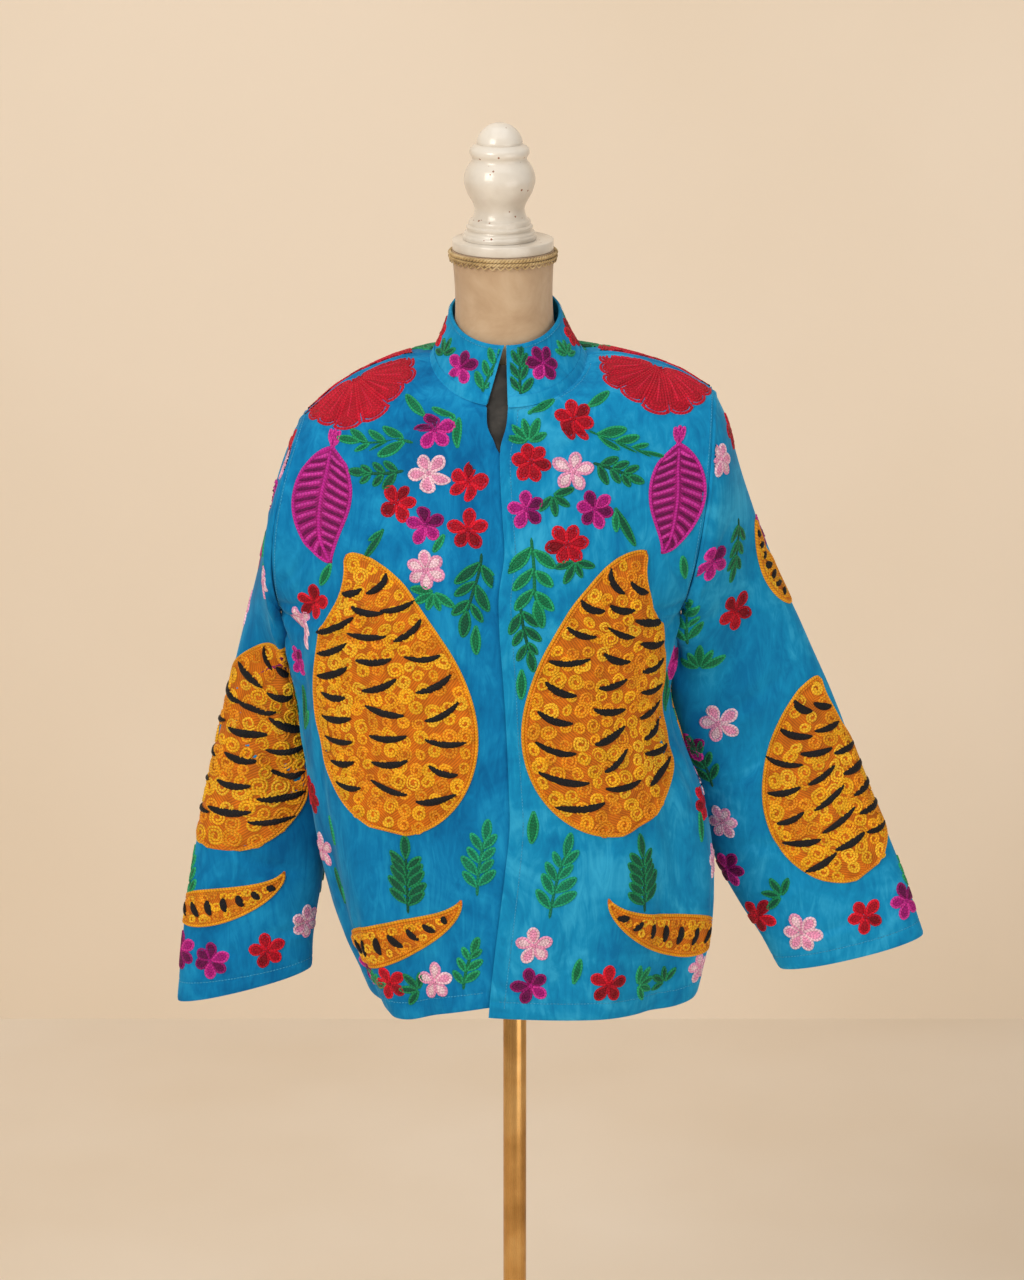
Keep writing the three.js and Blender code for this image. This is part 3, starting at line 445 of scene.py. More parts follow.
def bodyRelief(kind, row, turn):
    y, x = flatPlace(kind, row, turn)
    out = creaseRelief(kind, row, turn)
    sideGap = (1 - turn) * flat["bodyTurn"]
    out += groove(sideGap, "side") + 0.35 * bell(sideGap - 6, 3)
    out += groove((garment["rows"] - row) * flat["upperRow"], "shoulder")
    out += groove(y, "edge") + groove(y - stitchAt["hem"], "hemStitch")
    pull = np.sin(x * 0.62 + 1.7 * np.sin(x * 0.11)) * (0.35 + 0.25 * np.sin(x * 0.047 + 1))      # stitching puckers
    out += pull * bell(y - 17, 9) * smooth(y, 0, 5)
    out += (0.8 + 0.5 * np.sin(x * 0.05)) * np.sin(x * 0.031 + 0.8) * (1 - smooth(y, 0, 46))      # the hem waves
    if kind == "under":
        return out + groove(x - flat["bodyTurn"] * underTurn(row, 0), "frontEdge")
    if kind == "over":
        out += groove(x, "frontEdge") + groove(x - stitchAt["front"], "frontStitch") * smooth(row, 0.1, 0.6)
        ripple = np.sin(y * 0.5 + 1.5 * np.sin(y * 0.09)) * (0.3 + 0.2 * np.sin(y * 0.033))
        out += ripple * bell(x - 7, 5)
    return out + groove(np.where(row > 19, turn * 150, 99), "neck")


def sleeveRelief(kind, at, turn):
    turn = turn % 360
    y, _ = flatPlace(kind, at, turn)
    out = mix(creaseRelief(kind, at, turn), creaseRelief(kind, at, turn - 360), smooth(turn, 325, 360))
    out += groove(y, "armhole") + 0.8 * bell(y - 8, 5)                # slightly eased
    toEdge = garment["cuffRow"] * flat["sleeveRow"] - y
    out += groove(toEdge, "cuff") + groove(toEdge - stitchAt["cuff"], "hemStitch")
    a = np.radians(turn)
    pull = np.sin(38 * a + 1.6 * np.sin(6 * a)) * (0.35 + 0.25 * np.sin(3 * a + 2))
    out += pull * bell(toEdge - 16, 8) * smooth(toEdge, 0, 5)
    out += groove(np.minimum(np.abs(turn), np.abs(turn - 360)) * flat["sleeveTurn"], "underarm")
    under = np.minimum(np.abs(turn - 24), np.abs(turn - 384))
    out += 9 * bell(at - 1.5, 1.3) * bell(under, 28)                  # cloth bunched under the arm
    gather = np.sin(turn * 0.32) * bell(y - 6, 6) * (1 - smooth(np.abs(turn - 180), 30, 70))
    return out + 0.5 * gather


def collarRelief(kind, share, column):
    y, _ = flatPlace(kind, share, column)
    toTop = flat["collarRow"] - y
    out = creaseRelief(kind, share, column) + groove(toTop, "collarTop") + 0.5 * bell(toTop - 5, 3)
    return out + groove(y, "collarFoot")


def backPlace(row, turn):                 # turn -1 at the under side, 0 in the middle, 1 at the over side
    return np.where((turn >= 0)[..., None], panelPlace("backOver", row, turn), panelPlace("backUnder", row, -turn))


def backRelief(kind, row, turn):
    return np.where(turn >= 0, bodyRelief("backOver", row, turn), bodyRelief("backUnder", row, -turn))


# A surface: how its places are found, its relief, the range of rows and turns, and which way is out
surfaces = {
    "over": {"base": lambda r, t: panelPlace("over", r, t), "relief": bodyRelief,
             "rows": (0, garment["rows"]), "turns": (0, 1), "out": 1},
    "under": {"base": lambda r, t: panelPlace("under", r, underTurn(r, t)),
              "relief": lambda k, r, t: bodyRelief(k, r, underTurn(r, t)),
              "rows": (0, garment["rows"]), "turns": (0, 1), "out": -1},
    "back": {"base": backPlace, "relief": backRelief, "rows": (0, garment["rows"]), "turns": (-1, 1), "out": -1},
    "collar": {"base": collarPlace, "relief": collarRelief, "rows": (0, 1), "turns": (0, 20), "out": 1},
    "underlap": {"base": underlapPlace, "relief": lambda k, r, t: 0.3 * np.sin(r * 2.1 + t * 3),
                 "rows": (0, 5), "turns": (0, 1), "out": 1},
}
for kind, name, out in (("sleeveOver", "over", -1), ("sleeveUnder", "under", 1)):
    surfaces[kind] = {"base": lambda r, t, name=name: sleevePlace(name, r, t), "relief": sleeveRelief,
                      "rows": (0, garment["cuffRow"]), "turns": (0, 360), "out": out}


def outward(kind, row, turn):
    surface = surfaces[kind]
    (low, high), (left, right) = surface["rows"], surface["turns"]
    stepR, stepT = 0.004 * (high - low), 0.004 * (right - left)
    r0, r1, t0, t1 = np.clip(row - stepR, low, high), np.clip(row + stepR, low, high), turn - stepT, turn + stepT
    if not kind.startswith("sleeve"):
        t0, t1 = np.clip(t0, left, right), np.clip(t1, left, right)
    alongRow = surface["base"](r1, turn) - surface["base"](r0, turn)
    alongTurn = surface["base"](row, t1) - surface["base"](row, t0)
    return unit(np.cross(alongTurn, alongRow) * surface["out"])


def place(kind, row, turn):               # finished place of the cloth's outer side, in mm
    row, turn = np.broadcast_arrays(np.asarray(row, float), np.asarray(turn, float))
    relief = surfaces[kind]["relief"](kind, row, turn)
    return surfaces[kind]["base"](row, turn) + outward(kind, row, turn) * np.asarray(relief)[..., None]


# Finishes

def linear(hexColour):                    # sRGB hex to the linear colour that Blender works in
    out = []
    for k in (1, 3, 5):
        c = int(hexColour[k:k + 2], 16) / 255
        out.append(c / 12.92 if c <= 0.04045 else ((c + 0.055) / 1.055) ** 2.4)
    return (*out, 1.0)


def addNode(tree, kind, settings=None, inputs=None):
    node = tree.nodes.new("ShaderNode" + kind)
    for name, value in (settings or {}).items():
        if name == "ramp":
            stops = node.color_ramp.elements
            while len(stops) < len(value):
                stops.new(0.5)
            for stop, (position, colour) in zip(stops, value):
                stop.position, stop.color = position, linear(colour)
        else:
            setattr(node, name, value)
    for name, value in (inputs or {}).items():
        if isinstance(value, bpy.types.Node):
            value = value.outputs[0]
        if isinstance(value, bpy.types.NodeSocket):
            tree.links.new(value, node.inputs[name])
        else:
            node.inputs[name].default_value = value
    return node


def newMaterial(name):
    material = bpy.data.materials.new(name)
    material.use_nodes = True
    tree = material.node_tree
    tree.nodes.clear()
    return material, tree, addNode(tree, "TexCoord").outputs["Object"]


def finishMaterial(material, inputs):
    tree = material.node_tree
    addNode(tree, "OutputMaterial", inputs={"Surface": addNode(tree, "BsdfPrincipled", inputs=inputs)})
    return material


def noise(tree, vector, scale, detail=2.0, **more):
    return addNode(tree, "TexNoise", inputs={"Vector": vector, "Scale": scale, "Detail": detail, **more})


def waves(tree, vector, axis, scale, **more):
    node = addNode(tree, "TexWave", {"bands_direction": axis}, {"Vector": vector, "Scale": scale, **more})
    return node.outputs["Fac"]


def mapped(tree, vector, scales):
    return addNode(tree, "Mapping", inputs={"Vector": vector, "Scale": scales})


def ramp(tree, factor, *stops):
    return addNode(tree, "ValToRGB", {"ramp": stops}, {"Fac": factor})


def bump(tree, height, strength, distance, **more):
    return addNode(tree, "Bump", inputs={"Height": height, "Strength": strength, "Distance": distance, **more})


def maths(tree, kind, *values):
    return addNode(tree, "Math", {"operation": kind}, dict(enumerate(values)))


def rescale(tree, value, low, high, toLow, toHigh):
    return addNode(tree, "MapRange", inputs={
        "Value": value, "From Min": low, "From Max": high, "To Min": toLow, "To Max": toHigh})


def cottonVelvet(name, deep, main, bright):
    # Cotton velvet, woven and cut: the pile drinks light face on and its sheen glows pale where it turns away,
    # and it has been brushed by hand in soft patches
    material, tree, coords = newMaterial(name)
    patches = noise(tree, coords, 9.0, 4.0, Roughness=0.55, Distortion=1.6)
    brushed = noise(tree, mapped(tree, coords, (60.0, 60.0, 17.0)), 1.0, 5.0, Roughness=0.6, Distortion=2.2)
    both = addNode(tree, "Mix", {"data_type": "FLOAT"}, {0: 0.36, 2: patches, 3: brushed})
    nap = ramp(tree, both, (0.36, deep), (0.5, main), (0.64, bright))
    tufts = bump(tree, noise(tree, coords, 1500.0), 0.18, 0.0004)       # tufts drawn at 0.7 mm
    return finishMaterial(material, {
        "Base Color": nap, "Roughness": 0.86, "Specular IOR Level": 0.1,
        "Sheen Weight": 0.34, "Sheen Roughness": 0.34, "Sheen Tint": linear("#8fd8f2"),
        "Normal": bump(tree, brushed, 0.22, 0.0016, Normal=tufts)})


def embroideryYarn():
    # Mercerised cotton embroidery yarn in chain stitch, hooked by hand: each loop lies like a small slanted leaf,
    # shining along its strands. Its colour is in the yarnColour attribute, its length runs along U in metres.
    # That colour is painted darker in the hollows between loops and plies and lighter on their crowns: painted shade
    # and highlight
    material, tree, coords = newMaterial("chain_stitch_yarn")
    dye = addNode(tree, "Attribute", {"attribute_name": "yarnColour"}).outputs["Color"]
    parts = addNode(tree, "SeparateXYZ", inputs={"Vector": addNode(tree, "UVMap", {"uv_map": "yarnLength"})})
    along, across = parts.outputs["X"], parts.outputs["Y"]
    slant = maths(tree, "MULTIPLY_ADD", maths(tree, "ABSOLUTE", across), -0.9, along)
    loops = maths(tree, "MULTIPLY", slant, 1 / 0.0034)              # a loop each 3.4 mm
    swell = maths(tree, "PINGPONG", maths(tree, "FRACT", loops), 0.5)
    strands = maths(tree, "MULTIPLY", across, 1 / 0.0008)           # plies 0.8 mm apart
    ply = maths(tree, "PINGPONG", maths(tree, "MULTIPLY_ADD", loops, 0.6, strands), 0.5)
    height = maths(tree, "MULTIPLY_ADD", ply, 0.35, swell)
    # painted shade and highlight: the yarn colour darkened to 0.55 in the hollows between loops and plies, raised to
    # 1.12 on their crowns
    shade = rescale(tree, height, 0.0, 0.6, 0.55, 1.12)
    worn = rescale(tree, noise(tree, coords, 90.0, 3.0), 0.3, 0.7, 0.84, 1.12)
    tone = maths(tree, "MULTIPLY", shade, worn)
    return finishMaterial(material, {
        "Base Color": addNode(tree, "VectorMath", {"operation": "SCALE"}, {0: dye, "Scale": tone}),
        "Roughness": 0.55, "Specular IOR Level": 0.2, "Sheen Weight": 0.04, "Sheen Roughness": 0.4,
        "Normal": bump(tree, height, 0.75, 0.0009)})


def greyCottonAndShade():
    # Plain-woven cotton, faded charcoal, its threads 0.5 mm apart drawn at 1 mm. The dark charcoal also stands for the
    # deep shade in the keyhole behind the collar: painted shade
    material, tree, coords = newMaterial("grey_cotton_and_keyhole_shade")
    wear = noise(tree, coords, 55.0, 5.0)
    weave = maths(tree, "ADD", waves(tree, coords, "X", 320.0), waves(tree, coords, "Z", 320.0))
    return finishMaterial(material, {
        "Base Color": ramp(tree, wear, (0.3, "#2f2e2d"), (0.55, "#413f3d"), (0.75, "#524f4b")),
        "Roughness": 0.92, "Specular IOR Level": 0.2, "Normal": bump(tree, weave, 0.3, 0.0003)})


velvetLight = cottonVelvet("turquoise_velvet_light", "#0a72aa", "#138bc0", "#32a6d6")
velvetDeep = cottonVelvet("turquoise_velvet_deep", "#04609a", "#0a78b2", "#1b92c8")
yarnMaterial = embroideryYarn()
greyMaterial = greyCottonAndShade()
print("jacket: finishes ready")


# Cloth: thin closed shells over the surfaces, with a UV map in real metres

def meshObject(name, vertices, faces, material, smoothShade=True):
    mesh = bpy.data.meshes.new(name)
    mesh.from_pydata(vertices, [], faces)
    mesh.materials.append(material)
    if smoothShade:
        mesh.polygons.foreach_set("use_smooth", [True] * len(mesh.polygons))
    mesh.update()
    piece = bpy.data.objects.new(name, mesh)
    bpy.context.scene.collection.objects.link(piece)
    return piece


def layUVs(piece, name, uvs):
    loops = np.zeros(len(piece.data.loops), np.int32)
    piece.data.loops.foreach_get("vertex_index", loops)
    piece.data.uv_layers.new(name=name).data.foreach_set("uv", uvs[loops].ravel())


def settle(piece, node=None):       # rides the one body, stands for its solid
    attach(piece, "root")
    if node:
        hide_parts(node)


def shellMesh(name, kind, rows, turns, thickness, material, lift=0.0):
    closed = kind.startswith("sleeve")
    r, t = np.meshgrid(rows, turns, indexing="ij")
    outer = place(kind, r, t)
    bent = unit(np.cross(np.gradient(outer, axis=1), np.gradient(outer, axis=0)) * surfaces[kind]["out"])
    bent = unit(outward(kind, r, t) * 0.5 + bent * 0.5)
    if closed:
        bent[:, -1] = bent[:, 0]
    outer = (outer + bent * lift) * mm
    inner = outer - bent * thickness * mm
    high, wide = r.shape
    count = high * wide
    across = np.cumsum(np.linalg.norm(np.diff(outer, axis=1, prepend=outer[:, :1]), axis=-1), axis=1)
    along = np.cumsum(np.linalg.norm(np.diff(outer, axis=0, prepend=outer[:1]), axis=-1), axis=0)
    ids = np.arange(count).reshape(high, wide)
    quads = gridQuads(ids)
    rims = [ids[0], ids[-1][::-1]] if closed else [ids[0], ids[:, -1], ids[-1][::-1], ids[::-1, 0]]
    rimQuads = [np.stack([rim[1:], rim[:-1], rim[:-1] + count, rim[1:] + count], axis=-1) for rim in rims]
    faces = np.concatenate([quads, quads[:, ::-1] + count, *rimQuads])
    if surfaces[kind]["out"] < 0:
        faces = faces[:, ::-1]
    vertices = np.concatenate([outer.reshape(-1, 3), inner.reshape(-1, 3)])
    piece = meshObject(name, vertices.tolist(), faces.tolist(), material)
    layUVs(piece, "cloth", np.tile(np.stack([across, along], axis=-1).reshape(-1, 2), (2, 1)))
    if closed:                            # join the tube along its underarm seam
        work = bmesh.new()
        work.from_mesh(piece.data)
        bmesh.ops.remove_doubles(work, verts=work.verts, dist=0.00002)
        work.to_mesh(piece.data)
        work.free()
    piece.data.set_sharp_from_angle(angle=math.radians(55))
    return piece


def between(*runs):                       # steps along an axis: (from, to, how many)
    return np.concatenate([np.linspace(a, b, n, endpoint=False) for a, b, n in runs] + [[runs[-1][1]]])


cloth = {
    "wall": 1.7,                          # mm, inside the solid's 2 mm
    "rows": between((0.01, 1.4, 22), (1.4, 12, 54), (12, 23.985, 62)),
    "turns": between((0.003, 0.1, 12), (0.1, 0.9, 62), (0.9, 0.9985, 8)),
    "backTurns": between((-0.9985, -0.9, 8), (-0.9, 0.9, 124), (0.9, 0.9985, 8)),
    "ats": between((0.01, 0.8, 10), (0.8, 12, 80), (12, 12.99, 18)),
    "around": np.linspace(0, 360, 109),
    # flat cut of what shows of each piece: width, length, area in metres
    "cuts": {
        "front_left": (0.30, 0.70, 0.184), "front_right": (0.33, 0.70, 0.200), "back": (0.60, 0.72, 0.364),
        "sleeve_left": (0.43, 0.62, 0.214), "sleeve_right": (0.33, 0.62, 0.161), "collar": (0.46, 0.072, 0.0246),
        "underlap": (0.044, 0.094, 0.0041),
    },
}


def clothPiece(node, kind, rows, turns, material, slot, held, restsOn, wall=cloth["wall"]):
    piece = shellMesh(node + "_cloth", kind, rows, turns, wall, material)
    settle(piece, node)
    measured = sum(f.area for f in piece.data.polygons) / 2
    print(f"jacket: {node} cloth, {len(piece.data.polygons)} faces, one side {measured:.4f} square metres")


light, deep = (velvetLight, "velvet_light"), (velvetDeep, "velvet_deep")
clothPiece("front_left", "over", cloth["rows"], cloth["turns"], *light, "hung", ["form_torso"])
clothPiece("front_right", "under", cloth["rows"], cloth["turns"], *deep, "hung", ["form_torso"])
clothPiece("back", "back", cloth["rows"], cloth["backTurns"], *deep, "hung", ["form_torso"])
clothPiece("sleeve_left", "sleeveOver", cloth["ats"], cloth["around"], *light, "hung",
           ["front_left_cloth", "back_cloth"])
clothPiece("sleeve_right", "sleeveUnder", cloth["ats"], cloth["around"], *deep, "hung",
           ["front_right_cloth", "back_cloth"])
clothPiece("collar", "collar", between((0.01, 0.99, 26)), between((0.02, 19.98, 150)), *light, "stretched",
           ["front_left_cloth", "back_cloth"])
# The underlap strip behind the keyhole: cloth whose dark grey is partly painted shade for the gap
clothPiece("underlap", "underlap", between((0, 5, 30)), between((0, 1, 14)), greyMaterial, "grey_cloth", "stretched",
           ["collar_cloth"], wall=1.4)

binding = shellMesh("neck_binding_strip", "collar", between((-0.03, 0.14, 11)), between((0.03, 19.97, 150)), 0.9,
                    velvetLight, lift=1.25)
settle(binding, "neck_binding")
print("jacket: cloth pieces ready")


# Embroidery: every motif is drawn flat in mm as rows of chain stitch, then laid on the cloth along its own surface

yarn = {"height": 1.15, "step": 2.7, "seed": 7}
dyes = {
    "red": ("#e0142f", "#b20c26"), "crimson": ("#b80c28", "#8a081c"), "black": ("#15151a", "#101014"),
    "magenta": ("#d8349f", "#b01a84"), "purple": ("#9a1270", "#6a0a50"),
    "pink": ("#f9cfe0", "#f2a0c8"), "rose": ("#f2a3cb", "#f8d3e2"),
    "green": ("#22a56c", "#0f7a50"), "leaf": ("#178a58", "#0b5c42"), "emerald": ("#1fa878", "#108060"),
}
curlDyes = ["#f8b820", "#f5ab1c", "#fbc22c", "#f0a01c", "#ea941a", "#f8b820"]
chance = random.Random(yarn["seed"])


def rowOf(points, width, height, dye, lift=0.0, taper=True):
    return {"points": np.array(points, float), "width": width, "height": height, "dye": dye, "lift": lift,
            "taper": taper}


def turnedRow(row, angle, dx=0.0, dy=0.0, scale=1.0, mirror=1):
    c, s = math.cos(math.radians(angle)), math.sin(math.radians(angle))
    p = row["points"] * scale * np.array([mirror, 1])
    moved = np.stack([c * p[:, 0] - s * p[:, 1] + dx, s * p[:, 0] + c * p[:, 1] + dy], axis=-1)
    return {**row, "points": moved}


# Outline of a petal or leaf standing along +y, widest at the peak share
def leafLoop(length, width, peak, inset):
    count = max(int(length / yarn["step"]), 6)
    t = (1 - np.cos(np.linspace(0.12, math.pi - 0.1, count))) / 2
    below = 0.3 + 0.7 * np.sin(math.pi / 2 * np.clip(t / peak, 0, 1)) ** 1.3
    above = np.sqrt(np.clip(1 - ((t - peak) / (1.02 - peak)) ** 2, 0, 1))
    half = np.maximum((width / 2) * np.where(t < peak, below, above) - inset, 0.35)
    left = np.stack([-half, inset + t * (length - 2 * inset)], axis=-1)
    return np.concatenate([left, (left * [-1, 1])[::-1]])


def petal(length, width, peak, dye):
    light, dark = dyes[dye]
    middle = max(width - 9.2, 1.8)
    core = [(0, y) for y in np.linspace(length * 0.3, length * 0.84 - middle / 2, max(int(length / 5), 4))]
    return [rowOf(core, middle, yarn["height"] * 1.2, dark, 0.2),
            rowOf(leafLoop(length, width, peak, 4.1), 3.0, yarn["height"] * 1.15, dark, 0.1),
            rowOf(leafLoop(length, width, peak, 1.6), 3.2, yarn["height"] * 1.25, light)]


def flower(dye, petals, radius=22.5):
    rows = []
    shades = {"magenta": ("magenta", "purple"), "red": ("red", "crimson", "red"), "pink": ("pink", "rose")}[dye]
    for k in range(petals):
        angle = 360 * k / petals + chance.uniform(-6, 6)
        size = radius * chance.uniform(0.9, 1.06)
        rows += [turnedRow(row, angle) for row in petal(size, radius * 0.66, 0.64, chance.choice(shades))]
    knot = [(1.4 * math.cos(a), 1.4 * math.sin(a)) for a in np.linspace(0, 2 * math.pi, 7)]
    return rows + [rowOf(knot, 2.8, 1.6, dyes[dye][1], 0.3, False)]


def leaf(length, width, dye):
    return petal(length, width, 0.5, dye)


def sprig(dye, pairs=3, length=68, leafLength=38, spread=46, bend=0.12):
    t = np.linspace(0, 1, max(int(length / yarn["step"]), 6))
    curve = np.stack([bend * length * t * t, length * t], axis=-1)
    rows = [rowOf(curve, 3.6, 1.1, dyes[dye][1])]
    for k in range(pairs):
        at = 0.16 + 0.66 * k / max(pairs - 1, 1)
        x, y = bend * length * at * at, length * at
        for side in (-1, 1):
            size = leafLength * (1 - 0.28 * at) * chance.uniform(0.85, 1.1)
            tilt = -side * (spread - 10 * at) * chance.uniform(0.85, 1.12) - bend * 40
            rows += [turnedRow(row, tilt, x, y + side * 1.5) for row in leaf(size, size * 0.34 + 2, dye)]
    tip = leaf(leafLength * 0.9, leafLength * 0.3 + 2, dye)
    return rows + [turnedRow(row, -bend * 90, curve[-1][0], curve[-1][1] - 2) for row in tip]


def spray(dye, leaves=5, leafLength=31, spread=150):         # leaves fanned from one point
    rows = []
    for k in range(leaves):
        tilt = -spread / 2 + spread * k / (leaves - 1)
        size = leafLength * chance.uniform(0.82, 1.12)
        rows += [turnedRow(row, tilt) for row in leaf(size, size * 0.32 + 2, dye)]
    return rows


def rosette(radius=68, petals=8, span=200):                  # a pleated half rosette
    rows = []
    rim = np.linspace(-1, 1, 7)[1:-1]
    for k in range(petals):
        tilt = -span / 2 + span * (k + 0.5) / petals
        size = radius * (0.93 + 0.07 * math.cos(math.radians(tilt))) * chance.uniform(0.95, 1.04)
        wide = 2 * size * math.tan(math.radians(span / petals / 2)) * 0.96
        core = [(0, y) for y in np.linspace(size * 0.3, size - wide * 0.2, 12)]
        pleat = [rowOf(core, wide * 0.86, 0.9, dyes["red"][1])]
        for n, (inset, dye) in enumerate(((1.6, "#cc1030"), (4.8, dyes["crimson"][0]), (8.0, "#c60e2e"))):
            if wide / 2 > inset + 1:
                t = np.linspace(0.1, 1, max(int(size / yarn["step"]), 6))
                half = np.maximum(wide / 2 * t ** 0.9 - inset, 0.4)
                cap = np.stack([rim * half[-1], size - inset - 6 + 6 * np.sqrt(1 - rim ** 2)], axis=-1)
                left = np.stack([-half, np.minimum(t * size, size - inset - 5)], axis=-1)
                loop = np.concatenate([left, cap, (left * [-1, 1])[::-1]])
                pleat.append(rowOf(loop, 3.2, yarn["height"] * (1.25 - 0.12 * n), dye))
        pleat.append(rowOf([(0, y) for y in np.linspace(size * 0.3, size * 0.8, 12)], 2.8, 1.5, "#d41a3c", 0.3))
        rows += [turnedRow(row, tilt) for row in pleat]
    for r in (4, 8):
        arc = [(r * math.sin(a), r * math.cos(a)) for a in np.linspace(-math.pi / 2, math.pi / 2, 9)]
        rows.append(rowOf(arc, 3.2, 1.5, dyes["crimson"][0], 0.3))
    return rows


# Almond shapes stand on a curved spine: share 0 at the round end, 1 at the tip, side -1 to 1 across
def almond(length, width, curl, roundness, power):
    t = np.linspace(0, 1, 161)[:, None]
    knots = np.array([(0, -0.5), (-0.13 * curl, -0.12), (0.02 * curl, 0.34), (0.36 * curl, 0.4)]) * length
    weights = (1 - t) ** 3, 3 * t * (1 - t) ** 2, 3 * t * t * (1 - t), t ** 3
    spine = sum(weight * knot for weight, knot in zip(weights, knots))
    tangent = unit(np.gradient(spine, axis=0))
    run = runAlong(spine)
    share = run / run[-1]
    half = width / 2 * np.sin(math.pi * share ** roundness) ** power

    def at(s, side):
        x, y, tx, ty, wide = [np.interp(s, share, line) for line in (*spine.T, *tangent.T, half)]
        return np.stack([x + ty * (wide * side), y - tx * (wide * side)], axis=-1)

    return {"at": at, "half": lambda s: np.interp(s, share, half), "run": run[-1]}


def outlineRow(shape, inset, width, height, dye, lift):
    s = np.linspace(0.012, 0.985, int(shape["run"] / yarn["step"]))
    s = s[shape["half"](s) > inset + 0.8]
    side = 1 - inset / shape["half"](s)
    path = np.concatenate([shape["at"](s, -side), shape["at"](s[::-1], side[::-1])])
    return rowOf(np.concatenate([path, path[:1]]), width, height, dye, lift, False)


def spiral(radius, dye, squareness, stretch, angle, width=3.0, pitch=4.3):
    turns = max((radius - 1.2) / pitch, 1.25)
    count = int(math.pi * radius * turns / 2.5) + 7
    theta = np.linspace(0, 2 * math.pi * turns, count)
    r = 1.6 + (radius - width / 2 - 1.6) * (theta / theta[-1]) ** 0.8
    c, s = np.cos(theta), np.sin(theta)
    box = (np.abs(c) ** squareness + np.abs(s) ** squareness) ** (-1 / squareness)
    points = np.stack([r * box * c, r * box * s * stretch], axis=-1)
    return turnedRow(rowOf(points, width, 1.3, dye, 0.7), angle)


def boteh(length, width, curl=0.55, bars=9, cell=9.2):
    shape = almond(length, width, curl, 0.66, 0.8)
    # the ground's darker orange is painted shade between the rows of stitching
    groundAndShade = {"shape": shape, "length": length, "dye": "#d0700e"}
    rows = [outlineRow(shape, 1.7, 3.6, 1.9, "#f2a41c", 0.5), outlineRow(shape, 5.0, 3.2, 1.6, "#e58a18", 0.6)]
    lanes = int((shape["run"] - 1.6 * cell) / (cell * 1.58))
    for k in range(lanes):                # curls of stitching, row over row inside the outline
        s = mix(cell * 0.55 + 3, shape["run"] - cell * 1.1, (k + 0.5) / lanes) / shape["run"]
        half = shape["half"](s)
        room = half - cell * 0.9 - 3.4
        across = int(room * 2 / (cell * 1.72))
        for n in range(across + 1 if room >= 0 else 0):
            side = (-room + (2 * room * n / across if across else room)) / half
            x, y = shape["at"](s + chance.uniform(-0.22, 0.22) / lanes, side)
            dye, size = chance.choice(curlDyes), cell * chance.uniform(0.84, 1.2)
            row = spiral(size, dye, chance.choice([2, 2, 2.8, 4]), chance.uniform(0.76, 1.0), chance.uniform(0, 360))
            rows.append(turnedRow({**row, "lift": chance.uniform(0.45, 1.0)}, 0, x + chance.uniform(-1.6, 1.6), y))
    u = np.linspace(-1, 1, 13)
    for k in range(bars):                 # dark satin-stitched bars, broken rows across
        s = 0.09 + 0.8 * (k + 0.5) / bars
        room = shape["half"](s)
        lanes = (-0.64, 0.02, 0.66) if room > 52 else (-0.45, 0.45) if room > 26 else (0.0,)
        for n, lane in enumerate(lanes):
            reach = min(chance.uniform(15, 22), room * 0.42) / room
            lean = chance.uniform(-0.014, 0.03) * (1 if lane > 0 else -1)
            path = shape["at"](s + (0.018 if n % 2 else 0) + lean * u + 0.012 * u * u, lane + reach * u)
            rows.append(rowOf(path, chance.uniform(6.8, 9.0), 1.5, dyes["black"][0], 1.9, "both ends"))
    return rows, groundAndShade


def stripedLeaf(length=134, width=66, curl=0.45):             # a magenta almond leaf with dark ribs
    shape = almond(length, width, curl, 0.8, 0.9)
    spine = shape["at"](np.linspace(0.04, 0.97, int(length / yarn["step"])), 0)
    rows = [outlineRow(shape, 1.7, 3.4, 1.6, "#c4269a", 0.5), rowOf(spine, 3.2, 1.6, "#c4269a", 0.9)]
    count = int(length / 6.4)
    u = np.linspace(0, 1, 9)
    for k in range(count):
        s = 0.07 + 0.8 * k / count
        reach = 1 - 4.0 / max(shape["half"](s + 0.05), 5)
        dye = dyes["purple"][1] if k % 2 else "#d23ba8"
        if reach >= 0.3:
            ribs = [shape["at"](s + 0.07 * u, side * mix(0.1, reach, u)) for side in (-1, 1)]
            rows += [rowOf(rib, 3.6, 1.2, dye, 0.7) for rib in ribs]
    for x, angle in ((-6, 24), (6, -20), (0, 2)):            # a tuft at its stalk
        rows += [turnedRow(row, 180 + angle, x * 0.4, -length / 2 + 3) for row in petal(24, 10, 0.5, "magenta")]
    # the ground's darker magenta is painted shade between the rows of stitching
    return rows, {"shape": shape, "length": length, "dye": "#a01878"}


# Laying a flat drawing on a surface: short straight steps, each turned with the cloth
def surfaceGrid(kind):
    surface, sleeve = surfaces[kind], kind.startswith("sleeve")
    rows = np.linspace(*surface["rows"], 300)
    turns = np.linspace(*((-30, 390) if sleeve else surface["turns"]), 300)
    places = place(kind, *np.meshgrid(rows, turns, indexing="ij"))
    stepR, stepT = rows[1] - rows[0], turns[1] - turns[0]
    alongRow, alongTurn = np.gradient(places, axis=0) / stepR, np.gradient(places, axis=1) / stepT
    normal = unit(np.cross(alongTurn, alongRow) * surface["out"])
    return {"data": np.concatenate([places, normal, alongRow, alongTurn], axis=-1), "low": (rows[0], turns[0]),
            "step": (stepR, stepT), "up": -1 if sleeve else 1}


def lookUp(grid, row, turn):
    data = grid["data"]
    i = np.clip((row - grid["low"][0]) / grid["step"][0], 0, data.shape[0] - 1.001)
    j = np.clip((turn - grid["low"][1]) / grid["step"][1], 0, data.shape[1] - 1.001)
    i0, j0 = i.astype(int), j.astype(int)
    u, v = (i - i0)[:, None], (j - j0)[:, None]
    found = ((data[i0, j0] * (1 - u) + data[i0 + 1, j0] * u) * (1 - v)
             + (data[i0, j0 + 1] * (1 - u) + data[i0 + 1, j0 + 1] * u) * v)
    return found[:, :3], found[:, 3:6], found[:, 6:9], found[:, 9:12]


